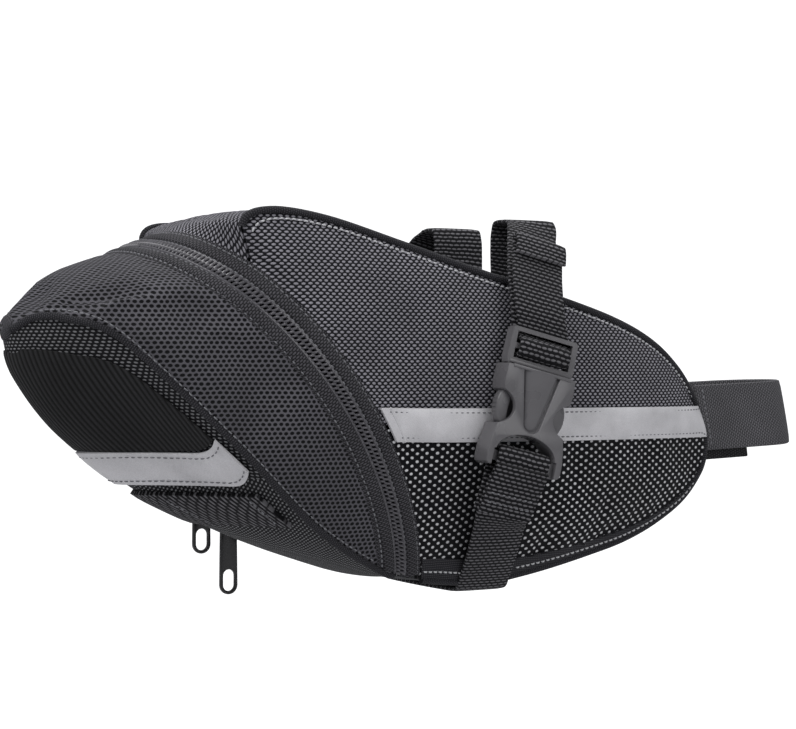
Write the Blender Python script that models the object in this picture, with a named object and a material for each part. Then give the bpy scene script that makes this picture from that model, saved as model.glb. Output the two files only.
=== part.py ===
"""Saddle bag for a bicycle: a wedge-shaped bag hung from the saddle rails by two buckled straps.

Frame: +X forward to the seat post, +Y the bicycle's left, +Z up, metres. The origin is midway
between the two strap seats, where the straps lie on the saddle rails. The bag's pattern below is
drawn in millimetres about its own middle and moved to that origin by PATTERN_ORIGIN.
"""

import bmesh
import bpy
import numpy as np

MM = 0.001
GAP = 0.3 * MM

# Place of the strap seats in the pattern, in millimetres (x, z).
PATTERN_ORIGIN = (32.0, 42.8)

# Walls
FABRIC = 1.6 * MM
LINING_DEPTH = 2.2 * MM
LINING = 0.9 * MM
TRIM = 0.7 * MM

# Cross-sections from the tail tip to the nose, in millimetres. Each lies along a line in side view,
# from its top centre to its bottom centre, which bows forward at its middle.
# top x, top z, bottom x, bottom z, bow, half width at the top edge, drop of that edge,
# half width of the upper side, half width of the lower side, half width at the bottom edge,
# rise of that edge
SECTIONS = [
    (-124.6, 14.2, -125.4, 6.2, 0.0, 3.8, 1.8, 5.0, 5.2, 4.8, 3.6),
    (-121.5, 17.4, -120.6, -4.0, 0.5, 9.0, 2.2, 11.4, 12.0, 11.6, 17.0),
    (-117.0, 21.0, -109.5, -18.0, 2.0, 17.0, 4.2, 20.0, 21.0, 20.4, 31.0),
    (-110.5, 25.0, -91.0, -33.5, 6.0, 25.0, 8.2, 33.0, 33.6, 30.5, 41.0),
    (-103.0, 28.6, -66.0, -46.0, 12.0, 31.5, 12.5, 45.0, 44.0, 39.5, 24.0),
    (-98.0, 30.6, -44.0, -54.8, 15.5, 34.0, 14.5, 50.0, 46.5, 36.5, 8.5),
    (-94.2, 32.0, -22.5, -61.9, 18.0, 36.0, 16.0, 53.0, 48.0, 30.0, 2.2),
    (-86.6, 34.4, -15.0, -63.4, 18.5, 36.5, 16.0, 53.5, 48.0, 28.0, 1.2),
    (-78.6, 38.4, -7.5, -64.6, 18.5, 36.0, 15.0, 53.0, 47.5, 26.8, 1.0),
    (-73.0, 42.2, 0.0, -65.4, 17.0, 37.0, 4.5, 51.5, 47.5, 25.5, 0.8),
    (-63.0, 43.4, 6.0, -66.0, 14.0, 38.3, 0.8, 49.5, 47.5, 24.5, 0.8),
    (-45.0, 41.0, 11.0, -66.4, 10.0, 38.5, 0.0, 48.5, 47.0, 23.5, 0.8),
    (-20.0, 34.4, 18.0, -66.4, 5.0, 38.0, 0.0, 47.0, 46.5, 22.8, 0.8),
    (6.0, 27.2, 27.0, -65.3, 2.0, 37.0, 0.0, 45.8, 45.8, 22.4, 0.8),
    (32.0, 20.6, 40.0, -62.8, 0.0, 35.6, 0.0, 44.0, 43.8, 22.2, 0.6),
    (57.0, 13.8, 55.0, -59.2, 0.0, 32.6, 0.0, 40.0, 39.8, 22.0, 0.4),
    (74.0, 7.2, 69.0, -55.2, 0.0, 29.2, 0.0, 35.6, 35.2, 22.0, 0.2),
    (86.0, -0.6, 81.4, -49.8, 0.0, 26.2, 0.0, 31.2, 31.0, 21.8, 0.0),
    (94.4, -9.4, 92.2, -43.0, 0.0, 23.8, 0.0, 27.4, 27.2, 21.6, 0.0),
    (99.8, -18.2, 99.2, -35.0, 0.0, 22.2, 0.0, 24.0, 24.0, 21.4, 0.0),
    (101.6, -23.8, 101.6, -29.4, 0.0, 21.8, 0.0, 22.4, 22.4, 21.4, 0.0),
]
TIP, ZIP, FRONT_EDGE, NOSE = 0.0, 7.0, 8.0, float(len(SECTIONS) - 1)

# Levels of the horizontal trims, in the pattern's millimetres
SIDE_STRIP = (-22.0, -12.2)
SIDE_STRIP_AT_NOSE = -1.6
TAIL_STRIP = (-33.0, -24.0)
LIGHT_LOOP = (-45.0, -36.0)

# Zip
COIL = 2.9 * MM
COIL_HEIGHT = 1.5 * MM
ZIP_END = 0.965
SLIDER_SIZE = (8.4 * MM, 2.0 * MM, 11.0 * MM)
SLIDER_LEVELS = {"zip_slider_upper": -9.5, "zip_slider_lower": -22.5}
PULL_LENGTH = 51.5 * MM
PULL_WIDTH = 6.2 * MM
PULL_THICK = 1.4 * MM
PULL_HINGE = 3.7 * MM
PULL_STAND_OFF = 2.9 * MM

# Webbing and buckles
WEBBING = 18.0 * MM
WEBBING_THICK = 1.3 * MM
BUCKLE_LEAN = np.radians(13.7)
BUCKLE_FOOT = (13.1, 43.6, -32.3)
BUCKLE_THICK = 7.2 * MM
RAIL_HALF_SPACING = 22.0

# Seat post strap
POST_STRAP = 22.0 * MM
POST_STRAP_THICK = 1.5 * MM
POST_STRAP_LEAN = np.radians(12.0)
POST_STRAP_ROUND = (133.0, 15.0)

COLOURS = {
    "fabric": ((0.075, 0.072, 0.083), 0.78, 0.0),
    "dotted_fabric": ((0.052, 0.050, 0.060), 0.78, 0.0),
    "ribbed_fabric": ((0.020, 0.020, 0.022), 0.85, 0.0),
    "lining_fabric": ((0.030, 0.030, 0.032), 0.9, 0.0),
    "reflective_tape": ((0.42, 0.41, 0.44), 0.4, 0.0),
    "zip_tape": ((0.082, 0.078, 0.088), 0.85, 0.0),
    "zip_coil": ((0.050, 0.048, 0.055), 0.4, 0.0),
    "webbing": ((0.035, 0.034, 0.037), 0.8, 0.0),
    "plastic": ((0.16, 0.155, 0.165), 0.42, 0.0),
    "black_metal": ((0.012, 0.012, 0.013), 0.3, 1.0),
    "board": ((0.10, 0.10, 0.10), 0.6, 0.0),
}


# ---------------------------------------------------------------- Blender helpers


def clear_scene():
    for thing in list(bpy.data.objects):
        bpy.data.objects.remove(thing, do_unlink=True)


def material(name):
    found = bpy.data.materials.get(name)
    if found:
        return found
    colour, roughness, metallic = COLOURS[name]
    made = bpy.data.materials.new(name)
    made.use_nodes = True
    shader = made.node_tree.nodes["Principled BSDF"]
    shader.inputs["Base Color"].default_value = (*colour, 1.0)
    shader.inputs["Roughness"].default_value = roughness
    shader.inputs["Metallic"].default_value = metallic
    return made


def add_solid(name, points, faces, surface, origin=(0.0, 0.0, 0.0)):
    """Adds a closed mesh as an object with its origin at a chosen place, and its faces pointing out."""
    mesh = bpy.data.meshes.new(name)
    mesh.from_pydata([tuple(np.subtract(p, origin)) for p in points], [], faces)
    shape = bmesh.new()
    shape.from_mesh(mesh)
    bmesh.ops.triangulate(shape, faces=shape.faces, quad_method="SHORT_EDGE")
    bmesh.ops.recalc_face_normals(shape, faces=shape.faces)
    shape.to_mesh(mesh)
    shape.free()
    mesh.shade_smooth()
    mesh.set_sharp_from_angle(angle=np.radians(35))
    mesh.materials.append(material(surface))
    solid = bpy.data.objects.new(name, mesh)
    solid.location = origin
    bpy.context.scene.collection.objects.link(solid)
    return solid


def cut(solid, *cutters):
    """Cuts closed meshes out of an object with exact Booleans."""
    for points, faces in cutters:
        number = len(solid.modifiers)
        cutter = add_solid(f"cutter_{solid.name}_{number}", points, faces, "board")
        cutter.hide_render = True
        cutter.display_type = "WIRE"
        boolean = solid.modifiers.new(f"cut_{number}", "BOOLEAN")
        boolean.operation = "DIFFERENCE"
        boolean.object = cutter
        boolean.solver = "EXACT"


# ---------------------------------------------------------------- plain closed shapes


def loft_rings(rings, closed):
    """Skins equal rings of points into a closed mesh. Its ends are capped, or joined if closed."""
    count = len(rings[0])
    points = [p for ring in rings for p in ring]
    faces = []
    last = len(rings) if closed else len(rings) - 1
    for i in range(last):
        here, there = i * count, ((i + 1) % len(rings)) * count
        for j in range(count):
            k = (j + 1) % count
            faces.append((here + j, here + k, there + k, there + j))
    if not closed:
        faces.append(tuple(range(count)))
        faces.append(tuple(range((len(rings) - 1) * count, len(rings) * count)))
    return points, faces


def unit(vector):
    vector = np.asarray(vector, float)
    return vector / np.linalg.norm(vector)


def tangents(path):
    """The direction of travel at each point of an open path, halfway between its two runs."""
    path = np.asarray(path, float)
    runs = [unit(b - a) for a, b in zip(path[:-1], path[1:])]
    inner = [unit(a + b) for a, b in zip(runs[:-1], runs[1:])]
    return [runs[0], *inner, runs[-1]]


def band(path, across, width, thick):
    """A strap: a flat section swept along a path, with its width along the vectors in across."""
    rings = []
    path = [np.asarray(p, float) for p in path]
    ways = tangents(path)
    for number, (point, way, wide) in enumerate(zip(path, ways, across)):
        wide = unit(wide - np.dot(wide, way) * way)
        out = np.cross(wide, way)
        stretch = 1.0
        if 0 < number < len(path) - 1:
            stretch = 1.0 / max(0.5, np.dot(way, unit(path[number + 1] - point)))
        half, deep = wide * width / 2, out * thick / 2 * stretch
        rings.append([point - half - deep, point + half - deep, point + half + deep, point - half + deep])
    return loft_rings(rings, False)


def tube(path, radius, sides=6, closed=False):
    """A round cord along a path, flat at its ends."""
    rings = []
    path = [np.asarray(p, float) for p in path]
    if closed:
        ways = [unit(b - a) for a, b in zip(path[-1:] + path[:-1], path[1:] + path[:1])]
    else:
        ways = tangents(path)
    up = None
    for point, way in zip(path, ways):
        if up is None:
            up = unit(np.cross(way, (0.31, 0.87, 0.38)))
        up = unit(up - np.dot(up, way) * way)
        side = np.cross(way, up)
        angles = np.arange(sides) * 2 * np.pi / sides
        rings.append([point + radius * (np.cos(a) * up + np.sin(a) * side) for a in angles])
    return loft_rings(rings, closed)


def prism(outline, low, high, place):
    """An outline of (x, z) points, given a thickness from low to high, and placed by a function."""
    rings = [[place(x, depth, z) for x, z in outline] for depth in (low, high)]
    return loft_rings(rings, False)


def arc(centre, radii, start, end, steps):
    """Points on an arc in the (x, z) plane, in degrees."""
    angles = np.radians(np.linspace(start, end, steps + 1))
    return [(centre[0] + radii[0] * np.cos(a), centre[1] + radii[1] * np.sin(a)) for a in angles]


# ---------------------------------------------------------------- the bag's outer surface


def section(s):
    """The cross-section's measures at any station, on a smooth curve through SECTIONS."""
    s = min(max(s, 0.0), NOSE)
    i = min(int(s), len(SECTIONS) - 2)
    t = s - i
    before, here = np.array(SECTIONS[max(i - 1, 0)]), np.array(SECTIONS[i])
    there, after = np.array(SECTIONS[i + 1]), np.array(SECTIONS[min(i + 2, len(SECTIONS) - 1)])
    m0, m1 = (there - before) / 2, (after - here) / 2
    return (
        (2 * t**3 - 3 * t**2 + 1) * here
        + (t**3 - 2 * t**2 + t) * m0
        + (-2 * t**3 + 3 * t**2) * there
        + (t**3 - t**2) * m1
    )


def side_view(measures, depth):
    """The place in side view at a depth below a section's top, in metres."""
    x0, z0, x1, z1, bow = measures[:5]
    chord = np.array([x1 - x0, z1 - z0])
    length = np.linalg.norm(chord)
    t = depth / length
    forward = np.array([-chord[1], chord[0]]) / length
    x, z = np.array([x0, z0]) + chord * t + forward * bow * 4 * t * (1 - t) / 2
    return (x - PATTERN_ORIGIN[0]) * MM, (z - PATTERN_ORIGIN[1]) * MM


def chord_length(measures):
    return float(np.hypot(measures[2] - measures[0], measures[3] - measures[1]))


def curve(controls, t):
    """A Bezier curve's point."""
    points = [np.array(c, float) for c in controls]
    while len(points) > 1:
        points = [a + (b - a) * t for a, b in zip(points[:-1], points[1:])]
    return points[0]


def placed(measures, half_width, depth, side):
    x, z = side_view(measures, depth)
    return np.array([x, side * half_width * MM, z])


def side_point(s, q, side):
    """The side's surface: q is 0 at the top edge and 1 at the bottom edge."""
    m = section(s)
    top, drop, upper, lower, bottom, rise = m[5:]
    length = chord_length(m)
    span = length - rise - drop
    controls = [(top, drop), (upper, drop + 0.22 * span), (lower, drop + 0.75 * span)]
    width, depth = curve([*controls, (bottom, length - rise)], q)
    return placed(m, width, depth, side)


def top_point(s, v):
    """The top's surface between its two edges, at v of -1 and 1."""
    m = section(s)
    width, depth = curve([(0, 0), (0.62 * m[5], 0), (m[5], m[6])], abs(v))
    return placed(m, width, depth, np.sign(v) or 1.0)


def bottom_point(s, v):
    """The bottom's surface, and the tail's rear surface, between the two edges at v of -1 and 1."""
    m = section(s)
    length = chord_length(m)
    width, depth = curve([(0, length), (m[9] / 2, length), (m[9], length - m[10])], abs(v))
    return placed(m, width, depth, np.sign(v) or 1.0)


ARCH_TOP = 0.3


def arch_point(s, v):
    """The sides and the top as one surface, from the right bottom edge at -1 to the left at 1."""
    if abs(v) <= ARCH_TOP:
        return top_point(s, v / ARCH_TOP)
    return side_point(s, (abs(v) - ARCH_TOP) / (1 - ARCH_TOP), np.sign(v))


def surface_normal(surface, s, v, low, high):
    """The outward normal of a surface, by differences that stay inside its own range."""
    step = 0.004
    s0, s1 = max(s - step, 0.0), min(s + step, NOSE)
    v0, v1 = max(v - step, low), min(v + step, high)
    normal = np.cross(surface(s1, v) - surface(s0, v), surface(s, v1) - surface(s, v0))
    m = section(s)
    x, z = side_view(m, chord_length(m) / 2)
    point = surface(s, v)
    normal = unit(normal)
    return point, normal * (np.sign(np.dot(normal, point - np.array([x, 0, z]))) or 1.0)


def patch(name, surface, grid, outer, inner, fabric, limits=(-1.0, 1.0)):
    """A sheet of the bag: a grid of (s, v) places on a surface, from one height over it to another."""
    outside, inside = [], []
    for row in grid:
        found = [surface_normal(surface, s, v, *limits) for s, v in row]
        outside.append([p + n * outer for p, n in found])
        inside.append([p + n * inner for p, n in found])
    rings = []
    for over, under in zip(outside, inside):
        rings.append(list(over) + list(reversed(under)))
    # a ring runs along the outer row and back along the inner one, so the sheet is closed all round
    points, faces = loft_rings(rings, False)
    count = len(outside[0])
    caps = []
    for first in (0, (len(rings) - 1) * 2 * count):
        for j in range(count - 1):
            caps.append((first + j, first + j + 1, first + 2 * count - 2 - j, first + 2 * count - 1 - j))
    return add_solid(name, points, faces[:-2] + caps, fabric)


def solve(function, target, low, high):
    """Where a steadily changing function reaches a target, by halving."""
    rising = function(high) > function(low)
    for _ in range(40):
        middle = (low + high) / 2
        if (function(middle) < target) == rising:
            low = middle
        else:
            high = middle
    return (low + high) / 2


def level(z):
    return (z - PATTERN_ORIGIN[1]) * MM


def side_place(s, z, side):
    """How far down the side a level lies at a station."""
    return solve(lambda q: side_point(s, q, side)[2], z, 0.0, 1.0)


def tail_station(v, z):
    """The station at which the tail's rear surface reaches a level."""
    return solve(lambda s: bottom_point(s, v)[2], z, TIP, ZIP)


def spaced(low, high, count):
    return [float(x) for x in np.linspace(low, high, count)]


def inset(s, edge, distance):
    """The share of a half width at a station that leaves a distance to the side wall."""
    return 1.0 - distance / max(section(s)[edge] * MM, distance * 1.5)


# ---------------------------------------------------------------- main bag


def make_side(side, hand):
    """The two fabrics of one side, and the reflective strip sewn over their joint."""

    def surface(s, q):
        return side_point(s, q, side)

    stations = spaced(FRONT_EDGE + 0.03, NOSE - 0.15, 24)
    middle = level(sum(SIDE_STRIP) / 2)
    split = {s: side_place(s, middle + strip_drop(s), side) for s in stations}
    upper = [[(s, split[s] * q) for q in spaced(0.0, 1.0, 8)] for s in stations]
    lower = [[(s, split[s] + 0.012 + (0.988 - split[s]) * q) for q in spaced(0.0, 1.0, 8)] for s in stations]
    patch(f"upper_side_panel_{hand}", surface, upper, 0.0, -FABRIC, "fabric", (0.0, 1.0))
    patch(f"lower_side_panel_{hand}", surface, lower, 0.0, -FABRIC, "dotted_fabric", (0.0, 1.0))

    low, high = (level(z) for z in SIDE_STRIP)
    strip = []
    for s in spaced(FRONT_EDGE + 0.15, NOSE - 1.4, 26):
        drop = strip_drop(s)
        ends = side_place(s, high + drop, side), side_place(s, low + drop, side)
        strip.append([(s, q) for q in spaced(*ends, 3)])
    name = f"side_reflective_strip_{hand}"
    patch(name, surface, strip, TRIM, GAP, "reflective_tape", (0.0, 1.0))


def strip_drop(s):
    """The strip falls a little towards the nose."""
    return SIDE_STRIP_AT_NOSE * MM * max(0.0, (s - FRONT_EDGE) / (NOSE - FRONT_EDGE))


def make_gusset():
    """The top, nose and bottom sheets that lie between the two sides."""
    wall = FABRIC + 2 * GAP

    def strip_grid(stations, edge, columns):
        return [[(s, v * inset(s, edge, wall)) for v in spaced(-1, 1, columns)] for s in stations]

    nose_start = 17.0
    top = strip_grid(spaced(FRONT_EDGE + 0.05, nose_start, 18), 5, 9)
    patch("top_gusset", top_point, top, 0.0, -FABRIC, "fabric")
    bottom = strip_grid(spaced(ZIP + 0.04, nose_start, 17), 9, 5)
    patch("bottom_gusset", bottom_point, bottom, 0.0, -FABRIC, "ribbed_fabric")

    # round the nose from the top sheet to the bottom sheet
    path, half = [], []
    for s in spaced(nose_start + 0.05, NOSE, 6):
        path.append(top_point(s, 0.0))
        half.append(section(s)[5] * MM - wall)
    for s in reversed(spaced(nose_start + 0.05, NOSE, 6)):
        path.append(bottom_point(s, 0.0))
        half.append(section(s)[9] * MM - wall)
    rings = []
    for point, way, wide in zip(path, tangents(path), half):
        inward = unit(np.array([-abs(way[2]), 0.0, -way[0]]))
        across = np.array([0.0, wide, 0.0])
        under = point + inward * FABRIC
        rings.append([point - across, point + across, under + across, under - across])
    add_solid("nose_panel", *loft_rings(rings, False), "ribbed_fabric")


def make_piping():
    """The bound edge of each side: along the top edge, round the nose and back along the bottom."""
    radius = 0.9 * MM
    for side, hand in ((-1, "right"), (1, "left")):
        path = []
        for s in spaced(FRONT_EDGE + 1.3, NOSE, 20):
            path.append(corner(s, 0.0, side, radius))
        for s in reversed(spaced(13.4, NOSE - 0.35, 12)):
            path.append(corner(s, 1.0, side, radius))
        add_solid(f"edge_piping_{hand}", *tube(path, radius, 5), "zip_tape")
    path = [corner(s, 1.0, -1, radius) for s in reversed(spaced(TIP, ZIP - 0.6, 18))]
    path += [corner(s, 1.0, 1, radius) for s in spaced(TIP, ZIP - 0.6, 18)]
    add_solid("tail_piping", *tube(path, radius, 5), "zip_tape")


def corner(s, q, side, radius):
    """A point just outside the edge between a side and the top (q of 0) or the bottom (q of 1)."""

    def surface(s, q):
        return side_point(s, q, side)

    point, out = surface_normal(surface, s, q, 0.0, 1.0)
    _, other = surface_normal(bottom_point if q else top_point, s, float(side), -1.0, 1.0)
    between = unit(out + other)
    return point + between * (radius + GAP) / max(0.5, np.dot(between, out))


def make_lining():
    """The lining of the main part, a sleeve open at the zip and at the nose."""
    outer, inner = [], []
    for s in spaced(FRONT_EDGE + 1.2, 16.6, 11):
        outer.append(ring(s, LINING_DEPTH))
        inner.append(ring(s, LINING_DEPTH + LINING))
    add_solid("main_lining", *sleeve(outer, inner), "lining_fabric")
    outer, inner = [], []
    for s in spaced(3.0, ZIP - 1.05, 9):
        outer.append(ring(s, LINING_DEPTH))
        inner.append(ring(s, LINING_DEPTH + LINING))
    add_solid("tail_lining", *sleeve(outer, inner), "lining_fabric")


def ring(s, depth):
    """A closed ring of points under the outer surface, right round the section."""
    places = [(arch_point, v, -1.0, 1.0) for v in spaced(-0.94, 0.94, 19)]
    places += [(bottom_point, v, -1.0, 1.0) for v in (0.75, 0.25, -0.25, -0.75)]
    points = []
    for surface, v, low, high in places:
        point, normal = surface_normal(surface, s, v, low, high)
        points.append(point - normal * depth)
    return points


def sleeve(outer, inner):
    """A tube wall between outer and inner rings, open at both ends."""
    rings = [*outer, *reversed(inner)]
    return loft_rings(rings, True)


def make_stiffener():
    """The sheet that keeps the bottom flat, inside the lining."""
    depth = LINING_DEPTH + LINING + 2 * GAP
    grid = [[(s, v) for v in spaced(-0.5, 0.5, 3)] for s in spaced(10.5, 15.5, 6)]
    patch("bottom_stiffener", bottom_point, grid, -depth, -depth - 1.2 * MM, "board")


# ---------------------------------------------------------------- zip


def zip_station(offset):
    """The station at a distance before or behind the zip's middle line."""
    return ZIP + offset / (10.0 * MM)


def arch_grid(low, high, end, columns, rows):
    return [[(s, v) for v in spaced(-end, end, columns)] for s in spaced(low, high, rows)]


def make_zip():
    """Two tapes on the arch, and a row of coil along the inner edge of each."""
    inner = COIL + 2 * GAP
    rear = arch_grid(zip_station(-9.5 * MM), zip_station(-inner), ZIP_END, 41, 2)
    front = arch_grid(zip_station(inner), zip_station(9.5 * MM), ZIP_END, 41, 2)
    patch("rear_zip_tape", arch_point, rear, 0.0, -TRIM, "zip_tape")
    patch("front_zip_tape", arch_point, front, 0.0, -TRIM, "zip_tape")
    rear = arch_grid(zip_station(-COIL), zip_station(-GAP * 0.6), ZIP_END, 41, 2)
    front = arch_grid(zip_station(GAP * 0.6), zip_station(COIL), ZIP_END, 41, 2)
    top, low = COIL_HEIGHT * 0.45, -COIL_HEIGHT * 0.45
    rear_coil = patch("rear_zip_coil", arch_point, rear, top, low, "zip_coil")
    front_coil = patch("front_zip_coil", arch_point, front, top, low, "zip_coil")

    for name, z in SLIDER_LEVELS.items():
        place, along, out = slider_frame(level(z))
        across = np.cross(along, out)
        room = box_mesh(place + along * 0.75 * MM, across, out, along, (3.2 * MM, 7.0 * MM, 6.8 * MM))
        cut(rear_coil, room)
        cut(front_coil, room)
        make_slider(name, place, across, out, along)
        make_pull(name.replace("slider", "pull"), place + out * PULL_HINGE)


def slider_frame(z):
    """The place on the left side's zip at a level, the way up the zip, and the way out of the bag."""
    v = solve(lambda v: arch_point(ZIP, v)[2], z, ARCH_TOP, 1.0)
    place, out = surface_normal(arch_point, ZIP, v, -1.0, 1.0)
    along = unit(arch_point(ZIP, v - 0.02) - arch_point(ZIP, v + 0.02))
    return place, along, unit(out - np.dot(out, along) * along)


def box_mesh(centre, x, y, z, size):
    """A box about a centre, along three directions."""
    halves = [np.asarray(way) * length / 2 for way, length in zip((x, y, z), size)]
    corners = ((-1, -1), (1, -1), (1, 1), (-1, 1))
    low = [centre - halves[2] + a * halves[0] + b * halves[1] for a, b in corners]
    return loft_rings([low, [p + 2 * halves[2] for p in low]], False)


def make_slider(name, place, across, out, along):
    """A slider: a wedge-nosed top plate and bottom plate joined by a post, with a crown on top."""
    wide, thick, long = SLIDER_SIZE
    shoulders = [(-0.5, -0.3), (-0.36, -0.5), (0.36, -0.5), (0.5, -0.3), (0.5, 0.3), (0.25, 0.5)]
    outline = [(a * wide, b * long) for a, b in [*shoulders, (-0.25, 0.5), (-0.5, 0.3)]]

    def at(x, depth, z):
        return place + across * x + out * depth + along * z

    points, faces = prism(outline, 1.0 * MM, 1.0 * MM + thick, at)
    slider = add_solid(name, points, faces, "black_metal", place)
    join(slider, prism(outline, -2.4 * MM, -1.2 * MM, at))
    post = [(-1.2 * MM, -2.0 * MM), (1.2 * MM, -2.0 * MM), (1.2 * MM, 3.5 * MM), (-1.2 * MM, 3.5 * MM)]
    join(slider, prism(post, -1.8 * MM, 2.0 * MM, at))
    crown = [(-2.7, 2.6), (-2.3, 5.2), (2.3, 5.2), (2.7, 2.6)]
    crown += [(1.7, 2.6), (1.5, 4.4), (-1.5, 4.4), (-1.7, 2.6)]

    def on_top(z, x, depth):
        return place + out * depth + across * x + along * z

    shape = [(a * MM, b * MM) for a, b in crown]
    join(slider, prism(shape, -0.8 * MM, 0.8 * MM, on_top))
    return slider


def join(solid, shape):
    """Adds a shape to an object as one body, with an exact union."""
    points, faces = shape
    cutter = add_solid(f"cutter_{solid.name}_{len(solid.modifiers)}", points, faces, "board")
    cutter.hide_render = True
    cutter.display_type = "WIRE"
    boolean = solid.modifiers.new("join", "BOOLEAN")
    boolean.operation = "UNION"
    boolean.object = cutter
    boolean.solver = "EXACT"


def make_pull(name, hinge):
    """A long pull tab: a pin under the slider's crown, two cheeks, and a tab with a finger hole."""
    half = PULL_WIDTH / 2
    bottom = half - PULL_LENGTH

    def at(x, depth, z):
        return hinge + np.array([x, depth, z])

    def sideways(depth, x, z):
        return at(x, depth, z)

    outline = [(-half, -0.5 * MM), (half, -0.5 * MM)]
    outline += arc((0.0, bottom), (half, half), 0.0, -180.0, 8)
    tab = add_solid(
        name, *prism(outline, PULL_STAND_OFF, PULL_STAND_OFF + PULL_THICK, at), "black_metal", hinge
    )
    hole = arc((0.0, bottom), (half * 0.62, half * 0.62), 0.0, -180.0, 8)
    hole += arc((0.0, bottom + 4.4 * MM), (half * 0.62, half * 0.62), 180.0, 0.0, 8)
    cut(tab, prism(hole, PULL_STAND_OFF - 1.0 * MM, PULL_STAND_OFF + PULL_THICK + 1.0 * MM, at))
    cheek = mm_points((-0.4, 0.4), (0.4, 0.4), (3.0, -0.6), (3.0, -2.4), (0.2, -0.4), (-0.4, -0.4))
    for low, high in ((-half, -half + 0.8 * MM), (half - 0.8 * MM, half)):
        join(tab, prism(cheek, low, high, sideways))
    pin = mm_points((-0.4, -0.4), (0.4, -0.4), (0.4, 0.4), (-0.4, 0.4))
    join(tab, prism(pin, 0.1 * MM - half, half - 0.1 * MM, sideways))


# ---------------------------------------------------------------- tail cap


def make_tail():
    """The hood over the arch, the rear panel with its trims, and the bottom panel to the hinge line."""
    hood_stations = [*spaced(TIP, 2.0, 6), *spaced(2.4, zip_station(-9.8 * MM), 10)]
    hood = [[(s, v) for v in spaced(-0.995, 0.995, 31)] for s in hood_stations]
    patch("tail_hood", arch_point, hood, 0.0, -FABRIC, "fabric")

    columns = spaced(-1.0, 1.0, 13)
    wall = FABRIC + 2 * GAP
    low_edge = level(TAIL_STRIP[0] - 1.4)

    def rows(share, margin, top, bottom, count):
        return [(s, share * inset(s, 9, margin)) for s in spaced(top, bottom, count)]

    seam = {share: tail_station(share * 0.92, low_edge) for share in columns}
    rear = [rows(share, wall, 0.5, seam[share], 12) for share in columns]
    patch("tail_rear_panel", bottom_point, rear, 0.0, -FABRIC, "dotted_fabric")
    bottom = [rows(share, wall, seam[share] + 0.04, ZIP - 0.04, 10) for share in columns]
    patch("tail_bottom_panel", bottom_point, bottom, 0.0, -FABRIC, "ribbed_fabric")

    # the ribbed skin stops just above the strip, whose ends turn up along the edge
    skin = []
    for share in columns:
        foot = tail_station(share * 0.9, strip_edges(share * 0.9)[1] + 0.5 * MM)
        skin.append(rows(share, 3.2 * MM, 1.0, foot, 11))
    patch("tail_ribbed_panel", bottom_point, skin, TRIM, GAP, "ribbed_fabric")
    strip = []
    for v in spaced(-0.93, 0.93, 17):
        low, high = strip_edges(v)
        strip.append([(tail_station(v, high), v), (tail_station(v, low), v)])
    patch("tail_reflective_strip", bottom_point, strip, TRIM, GAP, "reflective_tape")
    loop = []
    for v in spaced(-0.82, 0.82, 17):
        loop.append([(tail_station(v, level(z)), v) for z in reversed(LIGHT_LOOP)])
    make_light_loop(loop)


def strip_edges(v):
    """The levels of the tail strip's lower and upper edge, which turn up near its ends."""
    lift = 4.0 * MM * max(0.0, (abs(v) - 0.74) / 0.19) ** 2
    return level(TAIL_STRIP[0]) + lift, level(TAIL_STRIP[1]) + lift


def make_light_loop(grid):
    """The webbing that takes a tail light's clip: sewn flat at its ends, standing off at its middle."""
    rings = []
    for row in grid:
        raised = 0.3 * MM * max(0.0, 1.0 - (abs(row[0][1]) / 0.55) ** 4)
        outer, inner = [], []
        for s, v in row:
            point, normal = surface_normal(bottom_point, s, v, -1.0, 1.0)
            outer.append(point + normal * (raised + GAP + WEBBING_THICK))
            inner.append(point + normal * (raised + GAP))
        rings.append([*outer, *reversed(inner)])
    add_solid("tail_light_loop", *loft_rings(rings, False), "webbing")


# ---------------------------------------------------------------- straps and buckles


def pattern(x, y, z):
    """A place in the pattern's millimetres, moved to the part's frame."""
    return np.array([(x - PATTERN_ORIGIN[0]) * MM, y * MM, (z - PATTERN_ORIGIN[1]) * MM])


def buckle_frame(side):
    """Places a point of the buckle: forward across it, out from the bag and up along it."""
    foot = pattern(*BUCKLE_FOOT) * (1, side, 1)
    up = np.array([np.sin(BUCKLE_LEAN), 0.0, np.cos(BUCKLE_LEAN)])
    forward = np.array([np.cos(BUCKLE_LEAN), 0.0, -np.sin(BUCKLE_LEAN)])
    out = np.array([0.0, float(side), 0.0])

    def at(x, depth, z):
        return foot + forward * x + out * depth + up * z

    return at, up, out


def mm_points(*pairs):
    return [(a * MM, b * MM) for a, b in pairs]


def rectangle(left, right, low, high):
    return mm_points((left, low), (right, low), (right, high), (left, high))


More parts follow.
